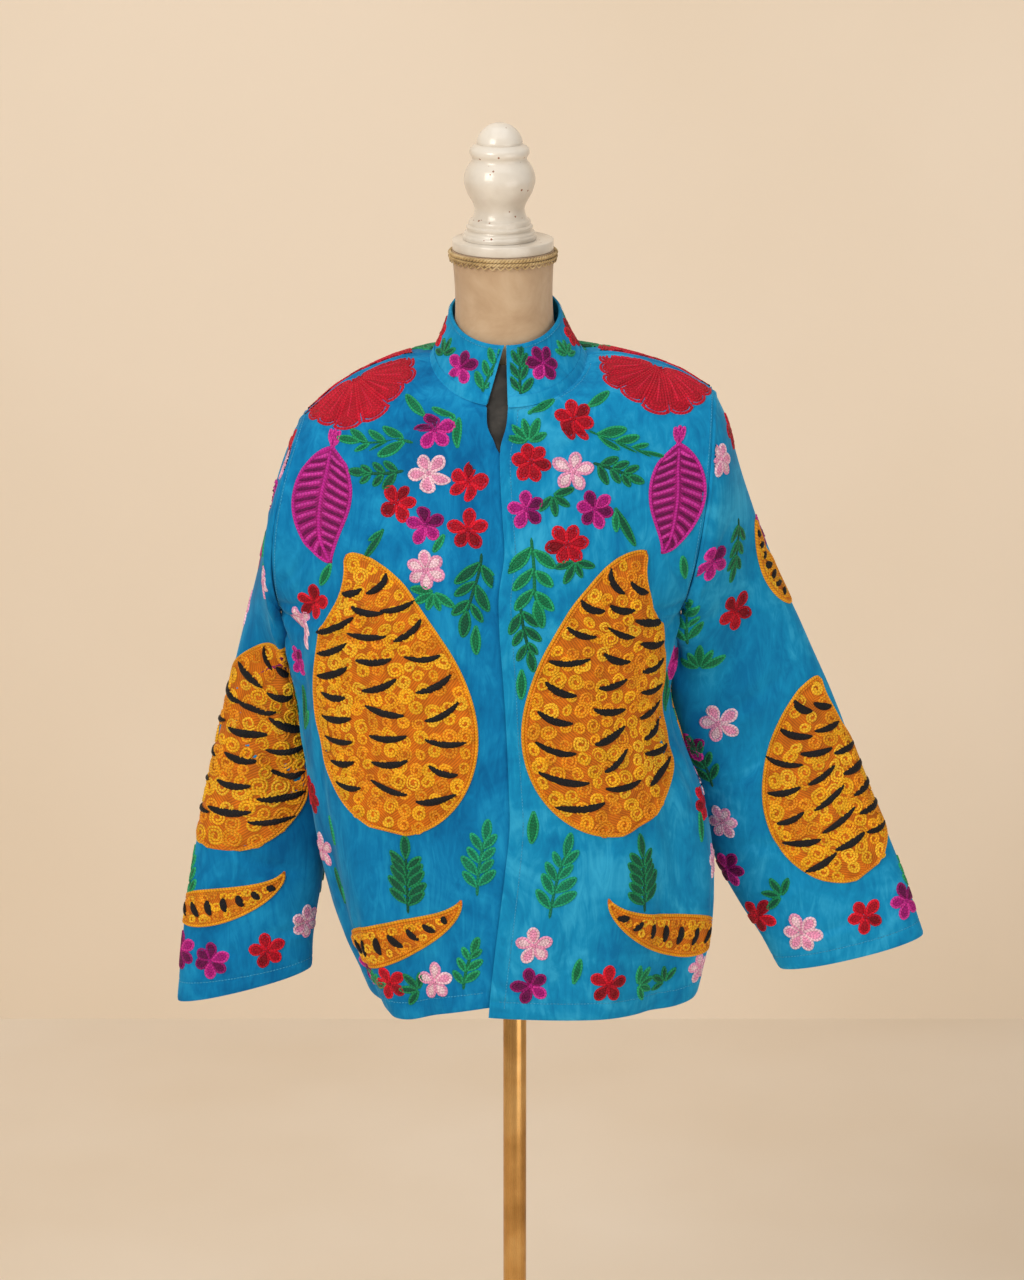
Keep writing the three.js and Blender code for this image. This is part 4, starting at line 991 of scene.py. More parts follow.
def walk(grid, row, turn, x, y):          # where points x, y mm from one place on the surface come to lie
    steps = max(3, int(np.abs(np.concatenate([x, y])).max() / 9))
    rows, turns = np.full(len(x), float(row)), np.full(len(x), float(turn))
    for _ in range(steps):
        _, normal, alongRow, alongTurn = lookUp(grid, rows, turns)
        up = unit(alongRow * grid["up"])
        step = (x / steps)[:, None] * np.cross(up, normal) + (y / steps)[:, None] * up
        e, f, g = (alongRow ** 2).sum(-1), (alongRow * alongTurn).sum(-1), (alongTurn ** 2).sum(-1)
        p, q = (step * alongRow).sum(-1), (step * alongTurn).sum(-1)
        det = np.maximum(e * g - f * f, 1e-6)
        rows, turns = rows + (p * g - q * f) / det, turns + (q * e - p * f) / det
    return rows, turns


section = ((-0.5, -0.12), (-0.19, 0.96), (0.19, 0.96), (0.5, -0.12))      # half-round yarn: offset, height
margins = {                               # lowest and highest row, lowest and highest turn that stitching reaches
    "over": (0.3, 23.75, 0.016, 0.985), "under": (0.3, 23.75, 0.088, 0.985), "back": (0.3, 23.75, -0.985, 0.985),
    "sleeveOver": (0.12, 12.85, -20, 380), "sleeveUnder": (0.12, 12.85, -20, 380), "collar": (0.17, 0.95, 0.15, 19.85),
}
pieceNames = {
    "over": "front_left", "under": "front_right", "back": "back",
    "sleeveOver": "sleeve_left", "sleeveUnder": "sleeve_right", "collar": "collar",
}


class Laid:
    # Gathers all that is laid on one surface into one mesh
    def __init__(self, kind):
        self.kind, self.grid = kind, surfaceGrid(kind)
        self.parts, self.faces, self.count = [], [], 0

    def add(self, places, faces, uvs, colours):
        self.parts.append((places * mm, uvs, colours))
        self.faces.append(faces + self.count)
        self.count += len(places)

    def drape(self, row, turn, drawn, rises, faces, uvs, colours):
        rows, turns = walk(self.grid, row, turn, drawn[:, 0], drawn[:, 1])
        where, normal, _, _ = lookUp(self.grid, rows, turns)
        lowR, highR, lowT, highT = margins[self.kind]
        inside = (rows > lowR) & (rows < highR) & (turns > lowT) & (turns < highT)
        self.add(where + normal * rises.reshape(-1, 1), faces[inside[faces].all(axis=1)], uvs, colours)

    def groundAndShade(self, groundAndShade, row, turn, angle, scale, mirror):       # the low padded ground under an almond, its darker colour painted shade between the rows of stitching
        shape = groundAndShade["shape"]
        s, side = np.meshgrid(np.linspace(0.006, 0.994, 54), np.linspace(-1, 1, 15), indexing="ij")
        points = {"points": shape["at"](s, side).reshape(-1, 2)}
        drawn = turnedRow(points, angle, scale=scale, mirror=mirror)["points"]
        rise = 0.15 + 0.75 * (1 - np.abs(side) ** 6) * (1 - np.abs(2 * s - 1) ** 16)
        quads = gridQuads(np.arange(s.size).reshape(s.shape))[:, ::mirror]
        uvs = np.stack([s * groundAndShade["length"], side * shape["half"](s)], axis=-1).reshape(-1, 2) * mm
        tone = 0.86 + 0.3 * np.sin(drawn[:, 0] * 0.11 + 2 * np.sin(drawn[:, 1] * 0.07)) ** 2
        self.drape(row, turn, drawn, rise, quads, uvs, tone[:, None] * linear(groundAndShade["dye"]))

    def lay(self, motifRows, row, turn, angle, scale, mirror):
        offsets, lifts = np.array(section).T
        drawn, rises, quads, uvs, colours, start = [], [], [], [], [], 0
        for one in motifRows:
            path = turnedRow(one, angle, scale=scale, mirror=mirror)["points"]
            tangent = unit(np.gradient(path, axis=0), 1e-6)
            across = np.stack([tangent[:, 1], -tangent[:, 0]], axis=-1)
            width, height = np.full(len(path), one["width"]), np.full(len(path), one["height"])
            if one["taper"] == "both ends":
                lens = np.sin(math.pi * np.linspace(0.03, 0.97, len(path))) ** 0.55
                width, height = width * lens, height * np.sqrt(lens)
            elif one["taper"]:
                width[[0, -1]] *= 0.35
                height[[0, -1]] *= 0.3
                width[[1, -2]] *= 0.88
            apart = np.outer(width, offsets)
            drawn.append((path[:, None] + across[:, None] * apart[..., None]).reshape(-1, 2))
            rises.append((np.outer(height, lifts) + one["lift"]).ravel())
            quads.append(gridQuads(start + np.arange(apart.size).reshape(apart.shape)))
            run = runAlong(path) + chance.uniform(0, 3)
            uvs.append(np.stack([np.repeat(run, len(section)), apart.ravel()], axis=-1) * mm)
            tone = chance.uniform(0.9, 1.08)
            colours.append(np.tile(np.array(linear(one["dye"])) * [tone, tone, tone, 1], (apart.size, 1)))
            start += apart.size
        self.drape(row, turn, *map(np.concatenate, (drawn, rises, quads, uvs, colours)))

    def finish(self, name):
        places, uvs, colours = map(np.concatenate, zip(*self.parts))
        faces = np.concatenate(self.faces)
        used, renumbered = np.unique(faces, return_inverse=True)
        piece = meshObject(name, places[used].tolist(), renumbered.reshape(-1, 4).tolist(), yarnMaterial)
        layUVs(piece, "yarnLength", uvs[used])
        attribute = piece.data.color_attributes.new("yarnColour", "FLOAT_COLOR", "POINT")
        attribute.data.foreach_set("color", colours[used].ravel())
        settle(piece)
        print(f"jacket: {name}, {2 * len(faces)} triangles")


# Where each motif lies: (motif, row, turn, angle, scale, mirror), the last two 1 where they aren't given.
# The layout is the builder's own on the sides that don't show
layout = {
    "over": [
        ("rosette", 23.55, 0.5, 176), ("stripedLeaf", 17.9, 0.81, 188, 0.95), ("boteh", 10.45, 0.41, 3),
        ("smallBoteh", 2.6, 0.54, 80), ("red", 19.48, 0.226, 10), ("red", 17.05, 0.115, 25), ("pink", 17.4, 0.285, 0),
        ("magenta", 16.5, 0.39, 14, 0.95), ("magenta", 15.5, 0.09, 5, 0.95), ("red", 15, 0.245, 30, 1.05),
        ("pink", 2.42, 0.095, 8, 0.95), ("magenta", 1.12, 0.1, 20, 0.92), ("red", 1.15, 0.33, 0, 0.95),
        ("magenta", 10.4, 0.91, 12, 0.85), ("red", 6, 0.88, 20, 0.9), ("pink", 4.1, 0.9, 0, 0.85),
        ("pink", 1.05, 0.78, 15, 0.8), ("leafOne", 20.25, 0.215, -10, 0.85), ("sprigGreen", 19.1, 0.33, -72, 0.86),
        ("sprigLeaf", 18, 0.37, -96, 0.58, -1), ("leafLong", 16.9, 0.49, -154, 0.8),
        ("sprayGreen", 17.75, 0.09, 20, 0.85), ("leafOne", 18.85, 0.085, 14, 0.95),
        ("sprayLeaf", 16.3, 0.2, -150, 0.7), ("sprigGreen", 14.75, 0.1, 178, 0.95, -1),
        ("sprayLeaf", 14.55, 0.27, 174, 0.72), ("sprigLeaf", 12.95, 0.07, 180, 0.74),
        ("leafOne", 11.15, 0.06, 176, 0.9), ("leafOne", 6.75, 0.07, 176), ("fern", 3.35, 0.44, 3, 0.66),
        ("sprigEmerald", 3.3, 0.13, -3, 0.84), ("sprayGreen", 1, 0.45, -72, 0.85), ("leafOne", 1.15, 0.22, -8, 0.8),
        ("sprayLeaf", 0.9, 0.6, 40, 0.7), ("leafLong", 8.9, 0.86, 4, 0.8), ("leafOne", 5, 0.77, -16, 0.9),
        ("leafOne", 15.3, 0.93, 15, 0.8),
    ],
    "under": [
        ("rosette", 23.55, 0.52, 184), ("stripedLeaf", 17.8, 0.72, 172, 1, -1), ("boteh", 10.45, 0.41, -3, 1, -1),
        ("smallBoteh", 2.6, 0.43, -80, 1, -1), ("magenta", 18.8, 0.2, 0), ("pink", 17.25, 0.235, 20),
        ("red", 16.35, 0.14, 5), ("red", 16.75, 0.37, 30), ("magenta", 15.6, 0.3, 12, 0.95), ("red", 14.95, 0.165, 0),
        ("pink", 14.2, 0.29, 15, 0.95), ("red", 13.9, 0.73, 10, 0.95), ("pink", 12.1, 0.75, 0, 0.68),
        ("pink", 1.1, 0.29, 0, 0.95), ("magenta", 10.6, 0.83, 20, 0.75), ("pink", 4.6, 0.86, 0, 0.85),
        ("magenta", 1.15, 0.74, 0, 0.9), ("red", 1.15, 0.52, 12, 0.9), ("red", 6.3, 0.88, 12, 0.9),
        ("leafOne", 19.5, 0.205, 6, 0.95), ("sprigGreen", 18.65, 0.29, 80, 0.85),
        ("sprigLeaf", 17.75, 0.33, 98, 0.6, -1), ("leafOne", 17.6, 0.115, -6, 0.9), ("leafOne", 18.75, 0.12, 14, 0.8),
        ("leafLong", 16.1, 0.45, 152, 0.62), ("leafOne", 15.1, 0.235, 150, 0.6),
        ("sprigLeaf", 14.2, 0.13, 180, 0.9, -1), ("sprayGreen", 13.45, 0.25, 172, 0.75),
        ("leafOne", 12.4, 0.125, 178, 0.9), ("fern", 3.35, 0.38, -3, 0.66, -1), ("sprigEmerald", 3.8, 0.14, 4, 0.74),
        ("sprigGreen", 0.75, 0.17, -4, 0.6), ("sprayLeaf", 0.9, 0.38, 62, 0.75), ("sprayGreen", 0.9, 0.63, 0, 0.7),
        ("leafLong", 8.4, 0.84, -4, 0.85), ("leafOne", 5.1, 0.7, 14, 0.9), ("leafOne", 15.6, 0.66, 160, 0.8),
        ("leafLong", 3.1, 0.76, 10, 0.7),
    ],
    "back": [
        ("rosette", 23.5, 0.52, 184), ("rosette", 23.5, -0.52, 176), ("boteh", 9.9, 0.44, 4),
        ("boteh", 9.9, -0.44, -4, 1, -1), ("stripedLeaf", 18.1, 0.76, 168, 1, -1), ("stripedLeaf", 18.1, -0.76, 192),
        ("smallBoteh", 2.75, 0.5, 80), ("smallBoteh", 2.75, -0.5, -80, 1, -1), ("fern", 14.6, 0, 0, 1.15),
        ("fern", 4.6, 0, 0, 1.1, -1), ("red", 22, 0, 0, 1.05), ("magenta", 20.4, 0.16, 10),
        ("magenta", 20.4, -0.16, 25), ("pink", 19.3, 0.4, 5), ("pink", 19.3, -0.4, 15), ("red", 17.7, 0.25, 20),
        ("red", 17.7, -0.25, 0), ("magenta", 16.2, 0.42, 0, 0.95), ("magenta", 16.2, -0.42, 20, 0.95),
        ("red", 14.7, 0.62, 8, 0.95), ("red", 14.7, -0.62, 0, 0.95), ("pink", 12.9, 0.12, 0, 0.95),
        ("pink", 12.9, -0.12, 30, 0.95), ("red", 11.4, 0, 12), ("magenta", 3.2, 0.14, 0, 0.9),
        ("magenta", 3.2, -0.14, 14, 0.9), ("pink", 1.1, 0, 0), ("red", 1.1, 0.3, 10), ("red", 1.1, -0.3, 24),
        ("magenta", 11.4, 0.87, 12, 0.9), ("magenta", 11.4, -0.87, 0, 0.9), ("pink", 6.2, 0.9, 8, 0.9),
        ("pink", 6.2, -0.9, 0, 0.9), ("red", 3.4, 0.84, 0, 0.95), ("red", 3.4, -0.84, 22, 0.95),
        ("magenta", 1, 0.68, 0, 0.9), ("magenta", 1, -0.68, 12, 0.9), ("sprigGreen", 20.8, 0.3, -70, 0.8),
        ("sprigGreen", 20.8, -0.3, 70, 0.8, -1), ("sprigGreen", 14.4, 0.3, -40, 0.7),
        ("sprigGreen", 14.4, -0.3, 40, 0.7, -1), ("sprigLeaf", 8.2, 0, 0, 0.9), ("leafOne", 0.8, 0.15, 0, 0.8),
        ("leafOne", 0.8, -0.15, 0, 0.8), ("sprigGreen", 7.9, 0.9, -4, 0.75), ("sprigGreen", 7.9, -0.9, 4, 0.75, -1),
        ("leafOne", 0.8, 0.49, 0, 0.8), ("leafOne", 0.8, -0.49, 0, 0.8), ("sprayLeaf", 13.2, 0.88, 20, 0.75),
        ("sprayLeaf", 13.2, -0.88, -20, 0.75), ("sprayGreen", 4.6, 0.72, 0, 0.75),
        ("sprayGreen", 4.6, -0.72, 0, 0.75),
    ],
    "sleeveOver": [
        ("sleeveBoteh", 8.85, 124, 3), ("sleeveBoteh", 8.3, 268, -4, 0.92), ("smallBoteh", 4.5, 158, 14, 0.6),
        ("stripedLeaf", 2.7, 236, 160, 0.8), ("pink", 0.75, 128, 0, 0.85), ("magenta", 1.75, 82, 10),
        ("red", 4.3, 104, 20, 1.05), ("sprayGreen", 4.5, 62, 0, 0.9), ("pink", 6.3, 66, 5, 1.05),
        ("magenta", 6.4, 28, 0, 0.9), ("pink", 8.6, 40, 20, 0.85), ("magenta", 9.9, 25, 8, 0.95),
        ("red", 11.4, 30, 15, 0.95), ("pink", 12, 62, 0), ("red", 12, 112, 10, 0.95), ("magenta", 12, 158, 0, 0.95),
        ("red", 1.5, 176, 0), ("magenta", 4, 176, 15, 0.95), ("pink", 3.6, 300, 0, 0.95), ("red", 7.6, 336, 10, 0.9),
        ("magenta", 12, 214, 20, 0.95), ("pink", 12, 260, 0, 0.95), ("red", 11.7, 306, 30, 0.95),
        ("red", 4.9, 210, 0, 0.9), ("sprayLeaf", 11, 62, 30, 0.8), ("sprigLeaf", 2.8, 130, 160, 0.7, -1),
        ("sprigGreen", 3, 40, 10, 0.7), ("sprigLeaf", 7.6, 40, 0, 0.65), ("sprigGreen", 6, 320, 0, 0.8),
        ("sprigLeaf", 9.4, 332, 176, 0.8), ("sprigGreen", 11.9, 186, 0, 0.55), ("sprayLeaf", 11.8, 238, 0, 0.7),
        ("sprayLeaf", 2.2, 276, 0, 0.8),
    ],
    "sleeveUnder": [
        ("sleeveBoteh", 7.2, 118, -3, 1.14), ("sleeveBoteh", 8.1, 277, 5, 0.72, -1),
        ("smallBoteh", 10.85, 112, -74, 0.85, -1), ("stripedLeaf", 2.75, 240, 196, 0.8), ("pink", 0.8, 140, 0, 0.85),
        ("pink", 2.6, 88, 12, 0.95), ("magenta", 3.1, 16, 0, 0.85), ("magenta", 12.15, 122, 0, 0.95),
        ("red", 12, 72, 20, 0.95), ("pink", 11.3, 30, 12, 0.85), ("red", 1.5, 184, 0), ("magenta", 3, 152, 18, 0.9),
        ("pink", 5.4, 194, 0, 0.95), ("pink", 3.7, 304, 0, 0.95), ("red", 7.8, 334, 8, 0.9),
        ("magenta", 12, 170, 6, 0.95), ("pink", 12, 218, 0, 0.95), ("red", 11.9, 266, 18, 0.95),
        ("magenta", 11.7, 312, 0, 0.95), ("sprigGreen", 1.9, 110, 190, 0.7), ("leafOne", 8.9, 22, 0),
        ("sprigGreen", 6.2, 328, 0, 0.8), ("sprigLeaf", 9.2, 330, 180, 0.8), ("sprayGreen", 2.4, 282, 0, 0.8),
        ("sprayLeaf", 12, 242, 0, 0.65), ("sprigGreen", 11, 164, 20, 0.6),
    ],
    "collar": [
        ("magenta", 0.42, 18, 8, 0.9), ("magenta", 0.56, 1.9, 20, 0.92), ("red", 0.4, 14.6, 0, 0.82),
        ("red", 0.48, 5, 10, 0.8), ("pink", 0.5, 12.2, 0, 0.8), ("magenta", 0.5, 10, 15, 0.85),
        ("pink", 0.5, 7.8, 0, 0.8), ("sprigGreen", 0.12, 19.6, 0, 0.62), ("sprigLeaf", 0.1, 0.55, 0, 0.6, -1),
        ("sprayLeaf", 0.35, 16.4, 20, 0.6), ("sprayGreen", 0.4, 3.5, -20, 0.6), ("sprayLeaf", 0.45, 6.4, 0, 0.55),
        ("sprayGreen", 0.45, 13.4, 0, 0.55), ("sprayLeaf", 0.45, 8.9, 0, 0.55), ("sprayGreen", 0.45, 11.1, 0, 0.55),
    ],
}
motifs = {
    "rosette": rosette, "stripedLeaf": stripedLeaf,
    "boteh": lambda: boteh(322, 190),
    "smallBoteh": lambda: boteh(196, 46, 0.5, bars=7, cell=7.2),
    "sleeveBoteh": lambda: boteh(240, 142, bars=7),
    "leafOne": lambda: leaf(38, 12.5, "green"),
    "leafLong": lambda: leaf(60, 13, "leaf") + [turnedRow(row, -28, 0, 4) for row in leaf(30, 11, "green")],
    "sprigGreen": lambda: sprig("green"),
    "sprigLeaf": lambda: sprig("leaf", spread=42, bend=-0.1),
    "sprigEmerald": lambda: sprig("emerald", pairs=4, length=82),
    "fern": lambda: sprig("leaf", pairs=5, length=92, leafLength=46, spread=50, bend=0.03),
    "sprayGreen": lambda: spray("green"),
    "sprayLeaf": lambda: spray("leaf", leaves=4),
}
for kind, spots in layout.items():
    laid = Laid(kind)
    for motif, row, turn, angle, *rest in spots:
        scale, mirror = (*rest, 1, 1)[:2]
        rows = motifs[motif]() if motif in motifs else flower(motif, chance.choice([5, 5, 6]))
        if isinstance(rows, tuple):
            rows, groundAndShade = rows
            laid.groundAndShade(groundAndShade, row, turn, angle, scale, mirror)
        laid.lay(rows, row, turn, angle, scale, mirror)
    laid.finish(pieceNames[kind] + "_embroidery")


# Machine topstitching: single stitches along the hem, cuffs, front edge, collar and seams
topstitch = {"length": 2.7, "pitch": 3.6, "width": 0.9, "height": 0.45, "dye": "#3fa4d2"}


def stitchLine(laid, rows, turns):
    run = runAlong(lookUp(laid.grid, rows, turns)[0])
    starts = np.arange(2, run[-1] - topstitch["pitch"], topstitch["pitch"])
    marks = (starts[:, None] + np.linspace(0, topstitch["length"], 4)[None]).ravel()
    where, normal, _, _ = lookUp(laid.grid, np.interp(marks, run, rows), np.interp(marks, run, turns))
    across = unit(np.cross(np.gradient(where, axis=0), normal))
    offsets = np.array([-0.5, -0.2, 0.2, 0.5]) * topstitch["width"]
    lifts = np.outer([0.15, 1, 1, 0.15], [-0.1, 1, 1, -0.1]) * topstitch["height"] + 0.25
    lifts = np.tile(lifts, (len(starts), 1))
    points = where[:, None] + across[:, None] * offsets[None, :, None] + normal[:, None] * lifts[:, :, None]
    quads = gridQuads(np.arange(len(marks) * 4).reshape(len(starts), 4, 4))
    uvs = np.stack([np.repeat(marks, 4), np.tile(offsets, len(marks))], axis=-1) * mm
    laid.add(points.reshape(-1, 3), quads, uvs, np.tile(linear(topstitch["dye"]), (len(uvs), 1)))


hemRow, frontTurn = stitchAt["hem"] / flat["bodyRow"], stitchAt["front"] / flat["bodyTurn"]
cuffRow = garment["cuffRow"] - stitchAt["cuff"] / flat["sleeveRow"]
lines = {                                 # rows from and to, turns from and to
    "over": [(hemRow, hemRow, 0.02, 0.995), (0.3, 23.4, frontTurn, frontTurn), (23.9, 12.2, 0.976, 0.976)],
    "under": [(hemRow, hemRow, 0.09, 0.995), (23.9, 12.2, 0.976, 0.976)],
    "back": [(hemRow, hemRow, -0.995, 0.995), (23.9, 12.2, 0.978, 0.978), (23.9, 12.2, -0.978, -0.978)],
    "sleeveOver": [(cuffRow, cuffRow, 0, 360)],
    "sleeveUnder": [(cuffRow, cuffRow, 0, 360)],
    "collar": [(0.915, 0.915, 0.2, 19.8), (0.2, 0.9, 0.32, 0.32), (0.2, 0.9, 19.68, 19.68)],
}
steps = np.linspace(0, 1, 400)
for kind, runs in lines.items():
    laid = Laid(kind)
    for rowA, rowB, turnA, turnB in runs:
        stitchLine(laid, mix(rowA, rowB, steps), mix(turnA, turnB, steps))
    laid.finish(pieceNames[kind] + "_topstitching")
print("jacket: embroidery and stitching ready")


# Dress form and stand finishes

def cottonJersey():
    # Stretched cotton jersey, natural ecru: fine ribs of knit, handled and slightly foxed
    material, tree, coords = newMaterial("ecru_cotton_jersey")
    foxing = noise(tree, coords, 16.0, 5.0, Roughness=0.6, Distortion=0.8)
    ribs = waves(tree, coords, "X", 260.0, Distortion=1.5, Detail=1.0)
    return finishMaterial(material, {
        "Base Color": ramp(tree, foxing, (0.25, "#ad9070"), (0.5, "#bea283"), (0.75, "#ceb698")),
        "Roughness": 0.8, "Specular IOR Level": 0.3, "Sheen Weight": 0.2, "Sheen Roughness": 0.5,
        "Normal": bump(tree, ribs, 0.16, 0.0004)})


def paintedBeech():
    # Turned beech under old gloss paint: warm white, brush-ringed, chipped to red-brown specks
    material, tree, coords = newMaterial("white_gloss_paint_on_beech")
    yellowing = noise(tree, coords, 22.0, 4.0)
    base = ramp(tree, yellowing, (0.3, "#c9bfb1"), (0.55, "#dcd5ca"), (0.8, "#e6e0d6"))
    chips = addNode(tree, "TexVoronoi", inputs={"Vector": coords, "Scale": 110.0, "Randomness": 1.0})
    breakUp = noise(tree, coords, 40.0)
    chip = maths(tree, "LESS_THAN", chips.outputs["Distance"], maths(tree, "MULTIPLY", breakUp, 0.22))
    shown = maths(tree, "MULTIPLY", chip, maths(tree, "GREATER_THAN", breakUp, 0.53))
    colour = addNode(tree, "Mix", {"data_type": "RGBA"}, {0: shown, 6: base, 7: linear("#8d5a40")})
    rings = waves(tree, coords, "Z", 160.0, Distortion=2.0, Detail=2.0)
    return finishMaterial(material, {
        "Base Color": colour.outputs[2], "Roughness": 0.28, "Coat Weight": 0.5, "Coat Roughness": 0.12,
        "Normal": bump(tree, rings, 0.07, 0.0004)})


def bareBeech():
    # Sawn beech board, oiled: long pores and bands of grain a few millimetres apart
    material, tree, coords = newMaterial("oiled_beech_board")
    grain = noise(tree, mapped(tree, coords, (3.0, 26.0, 26.0)), 6.0, 6.0, Distortion=0.6)
    return finishMaterial(material, {
        "Base Color": ramp(tree, grain, (0.3, "#7c5a38"), (0.5, "#9a7449"), (0.7, "#b18b5c")),
        "Roughness": 0.62, "Normal": bump(tree, grain, 0.12, 0.0005)})


def lacqueredBrass():
    # Drawn brass tube, lacquered and a little tarnished: fine draw lines up the tube
    material, tree, coords = newMaterial("lacquered_drawn_brass")
    tarnish = noise(tree, coords, 14.0, 5.0)
    drawLines = noise(tree, mapped(tree, coords, (900.0, 900.0, 6.0)), 1.0)
    return finishMaterial(material, {
        "Base Color": ramp(tree, tarnish, (0.3, "#a2763f"), (0.5, "#c99a5c"), (0.72, "#e2ba7c")), "Metallic": 1.0,
        "Roughness": rescale(tree, drawLines, 0.3, 0.7, 0.2, 0.36), "Normal": bump(tree, drawLines, 0.05, 0.0002)})


def strawGimp():
    # Twisted straw-coloured rayon gimp braid: strands 0.6 mm apart
    material, tree, coords = newMaterial("straw_gimp_braid")
    fade = noise(tree, coords, 60.0, 3.0)
    return finishMaterial(material, {
        "Base Color": ramp(tree, fade, (0.3, "#96794a"), (0.5, "#bda06c"), (0.75, "#d8c092")),
        "Roughness": 0.6, "Sheen Weight": 0.2, "Normal": bump(tree, noise(tree, coords, 900.0), 0.5, 0.0004)})


jersey, paint, board, brass, gimp = cottonJersey(), paintedBeech(), bareBeech(), lacqueredBrass(), strawGimp()


# Dress form
form = {
    "lean": 0.0175, "bottom": 830, "top": 1533, "columns": 112,
    "seams": (68, 292), "seamDepth": 0.8, "seamWidth": 1.6,          # degrees round the form, mm, degrees
}
neckX = -form["lean"] * (form["top"] - form["bottom"])


def leanX(z):                             # the form leans a little to one side
    return -form["lean"] * (z - form["bottom"])


def torsoPlace(z, a):
    level = sample(formLevels, "z", z)
    depth = np.where(np.cos(a) > 0, level["front"], level["back"])
    return stack(level["halfWidth"] * np.sign(np.sin(a)) * np.abs(np.sin(a)) ** level["pinch"] + leanX(z),
                 -depth * np.sign(np.cos(a)) * np.abs(np.cos(a)) ** level["pinch"], z)


heights = between((form["bottom"], 1395, 70), (1395, 1425, 24), (1425, form["top"], 26))
angles = np.linspace(0, 2 * math.pi, form["columns"], endpoint=False)
zz, aa = np.meshgrid(heights, angles, indexing="ij")
body = torsoPlace(zz, aa)
sunk = sum(form["seamDepth"] * bell(np.degrees(aa) - seam, form["seamWidth"]) for seam in form["seams"])
inward = stack(leanX(zz), np.zeros_like(zz), zz) - body
body = body + inward * (sunk / np.maximum(np.linalg.norm(inward, axis=-1), 1))[..., None]
ids = np.arange(zz.size).reshape(zz.shape)
quads = gridQuads(np.pad(ids, ((0, 0), (0, 1)), mode="wrap")).tolist() + [ids[0][::-1].tolist(), ids[-1].tolist()]
torso = meshObject("form_torso_jersey", (body.reshape(-1, 3) * mm).tolist(), quads, jersey)
torso.data.set_sharp_from_angle(angle=math.radians(50))
settle(torso, "form_torso")


def tube(path, radius, sides):            # a closed ring of round section
    ahead = unit(np.roll(path, -1, axis=0) - np.roll(path, 1, axis=0))
    side = unit(np.cross(ahead, [0, 0, 1.0]), 1e-6)
    up = np.cross(side, ahead)
    turns = np.linspace(0, 2 * math.pi, sides, endpoint=False)[None, :, None]
    points = path[:, None] + radius * (side[:, None] * np.cos(turns) + up[:, None] * np.sin(turns))
    ids = np.arange(len(path) * sides).reshape(len(path), sides)
    return points.reshape(-1, 3), gridQuads(np.pad(ids, ((0, 1), (0, 1)), mode="wrap"))


# The braid round the neck: two twisted strands above and below a looped gimp
braid = {
    "height": 12, "radius": 53.9,
    "strands": [                          # level, twists, phase, out, rise, radius
        (3.9, 46, 0, 1.0, 1.0, 1.35), (3.9, 46, math.pi, 1.0, 1.0, 1.35),
        (-0.2, 46, 0.8, 0.9, 0.9, 1.2), (-0.2, 46, 0.8 + math.pi, 0.9, 0.9, 1.2), (-3.6, 40, 0, 0.3, 1.5, 0.8)],
}
points, faces, count = [], [], 0
theta = np.linspace(0, 2 * math.pi, 560, endpoint=False)
braidZ = form["top"] - 0.3 - braid["height"] / 2
for level, twist, phase, out, rise, radius in braid["strands"]:
    r = braid["radius"] + 1.0 + out * np.cos(twist * theta + phase)
    z = braidZ + level + rise * np.sin(twist * theta + phase)
    ring, ringQuads = tube(stack(neckX + r * np.cos(theta), r * np.sin(theta), z), radius, 4)
    points.append(ring * mm)
    faces.append(ringQuads + count)
    count += len(ring)
settle(meshObject("neck_gimp_braid", np.concatenate(points).tolist(), np.concatenate(faces).tolist(), gimp),
       "neck_braid")
print("jacket: dress form ready")


# Turned pieces: a disc at the foot of the profile, drawn up ring by ring
def turnOnLathe(name, profile, x, z, material, slot, node, sides=72, bevel=0.5):
    bpy.ops.object.select_all(action="DESELECT")
    nowR, nowZ = profile[0]
    bpy.ops.mesh.primitive_circle_add(vertices=sides, radius=nowR * mm, fill_type="NGON",
                                      location=(x * mm, 0, (z + nowZ) * mm))
    piece = bpy.context.object
    piece.name = piece.data.name = name
    bpy.ops.object.mode_set(mode="EDIT")
    bpy.ops.mesh.select_all(action="SELECT")
    for r, height in profile[1:]:
        bpy.ops.mesh.extrude_region_move(TRANSFORM_OT_translate={"value": (0, 0, (height - nowZ) * mm)})
        bpy.ops.transform.resize(value=(r / nowR, r / nowR, 1), center_override=(x * mm, 0, (z + height) * mm))
        nowR, nowZ = r, height
    bpy.ops.mesh.select_all(action="SELECT")
    bpy.ops.mesh.normals_make_consistent(inside=False)
    bpy.ops.object.mode_set(mode="OBJECT")
    if bevel:
        edge = piece.modifiers.new("edge", "BEVEL")
        edge.width, edge.segments, edge.limit_method, edge.angle_limit = bevel * mm, 2, "ANGLE", math.radians(38)
        bpy.ops.object.modifier_apply(modifier="edge")
    bpy.ops.object.transform_apply(location=True, rotation=True, scale=True)
    bpy.ops.object.shade_smooth_by_angle(angle=math.radians(40))
    piece.data.materials.clear()
    piece.data.materials.append(material)
    piece.select_set(False)
    settle(piece, node)


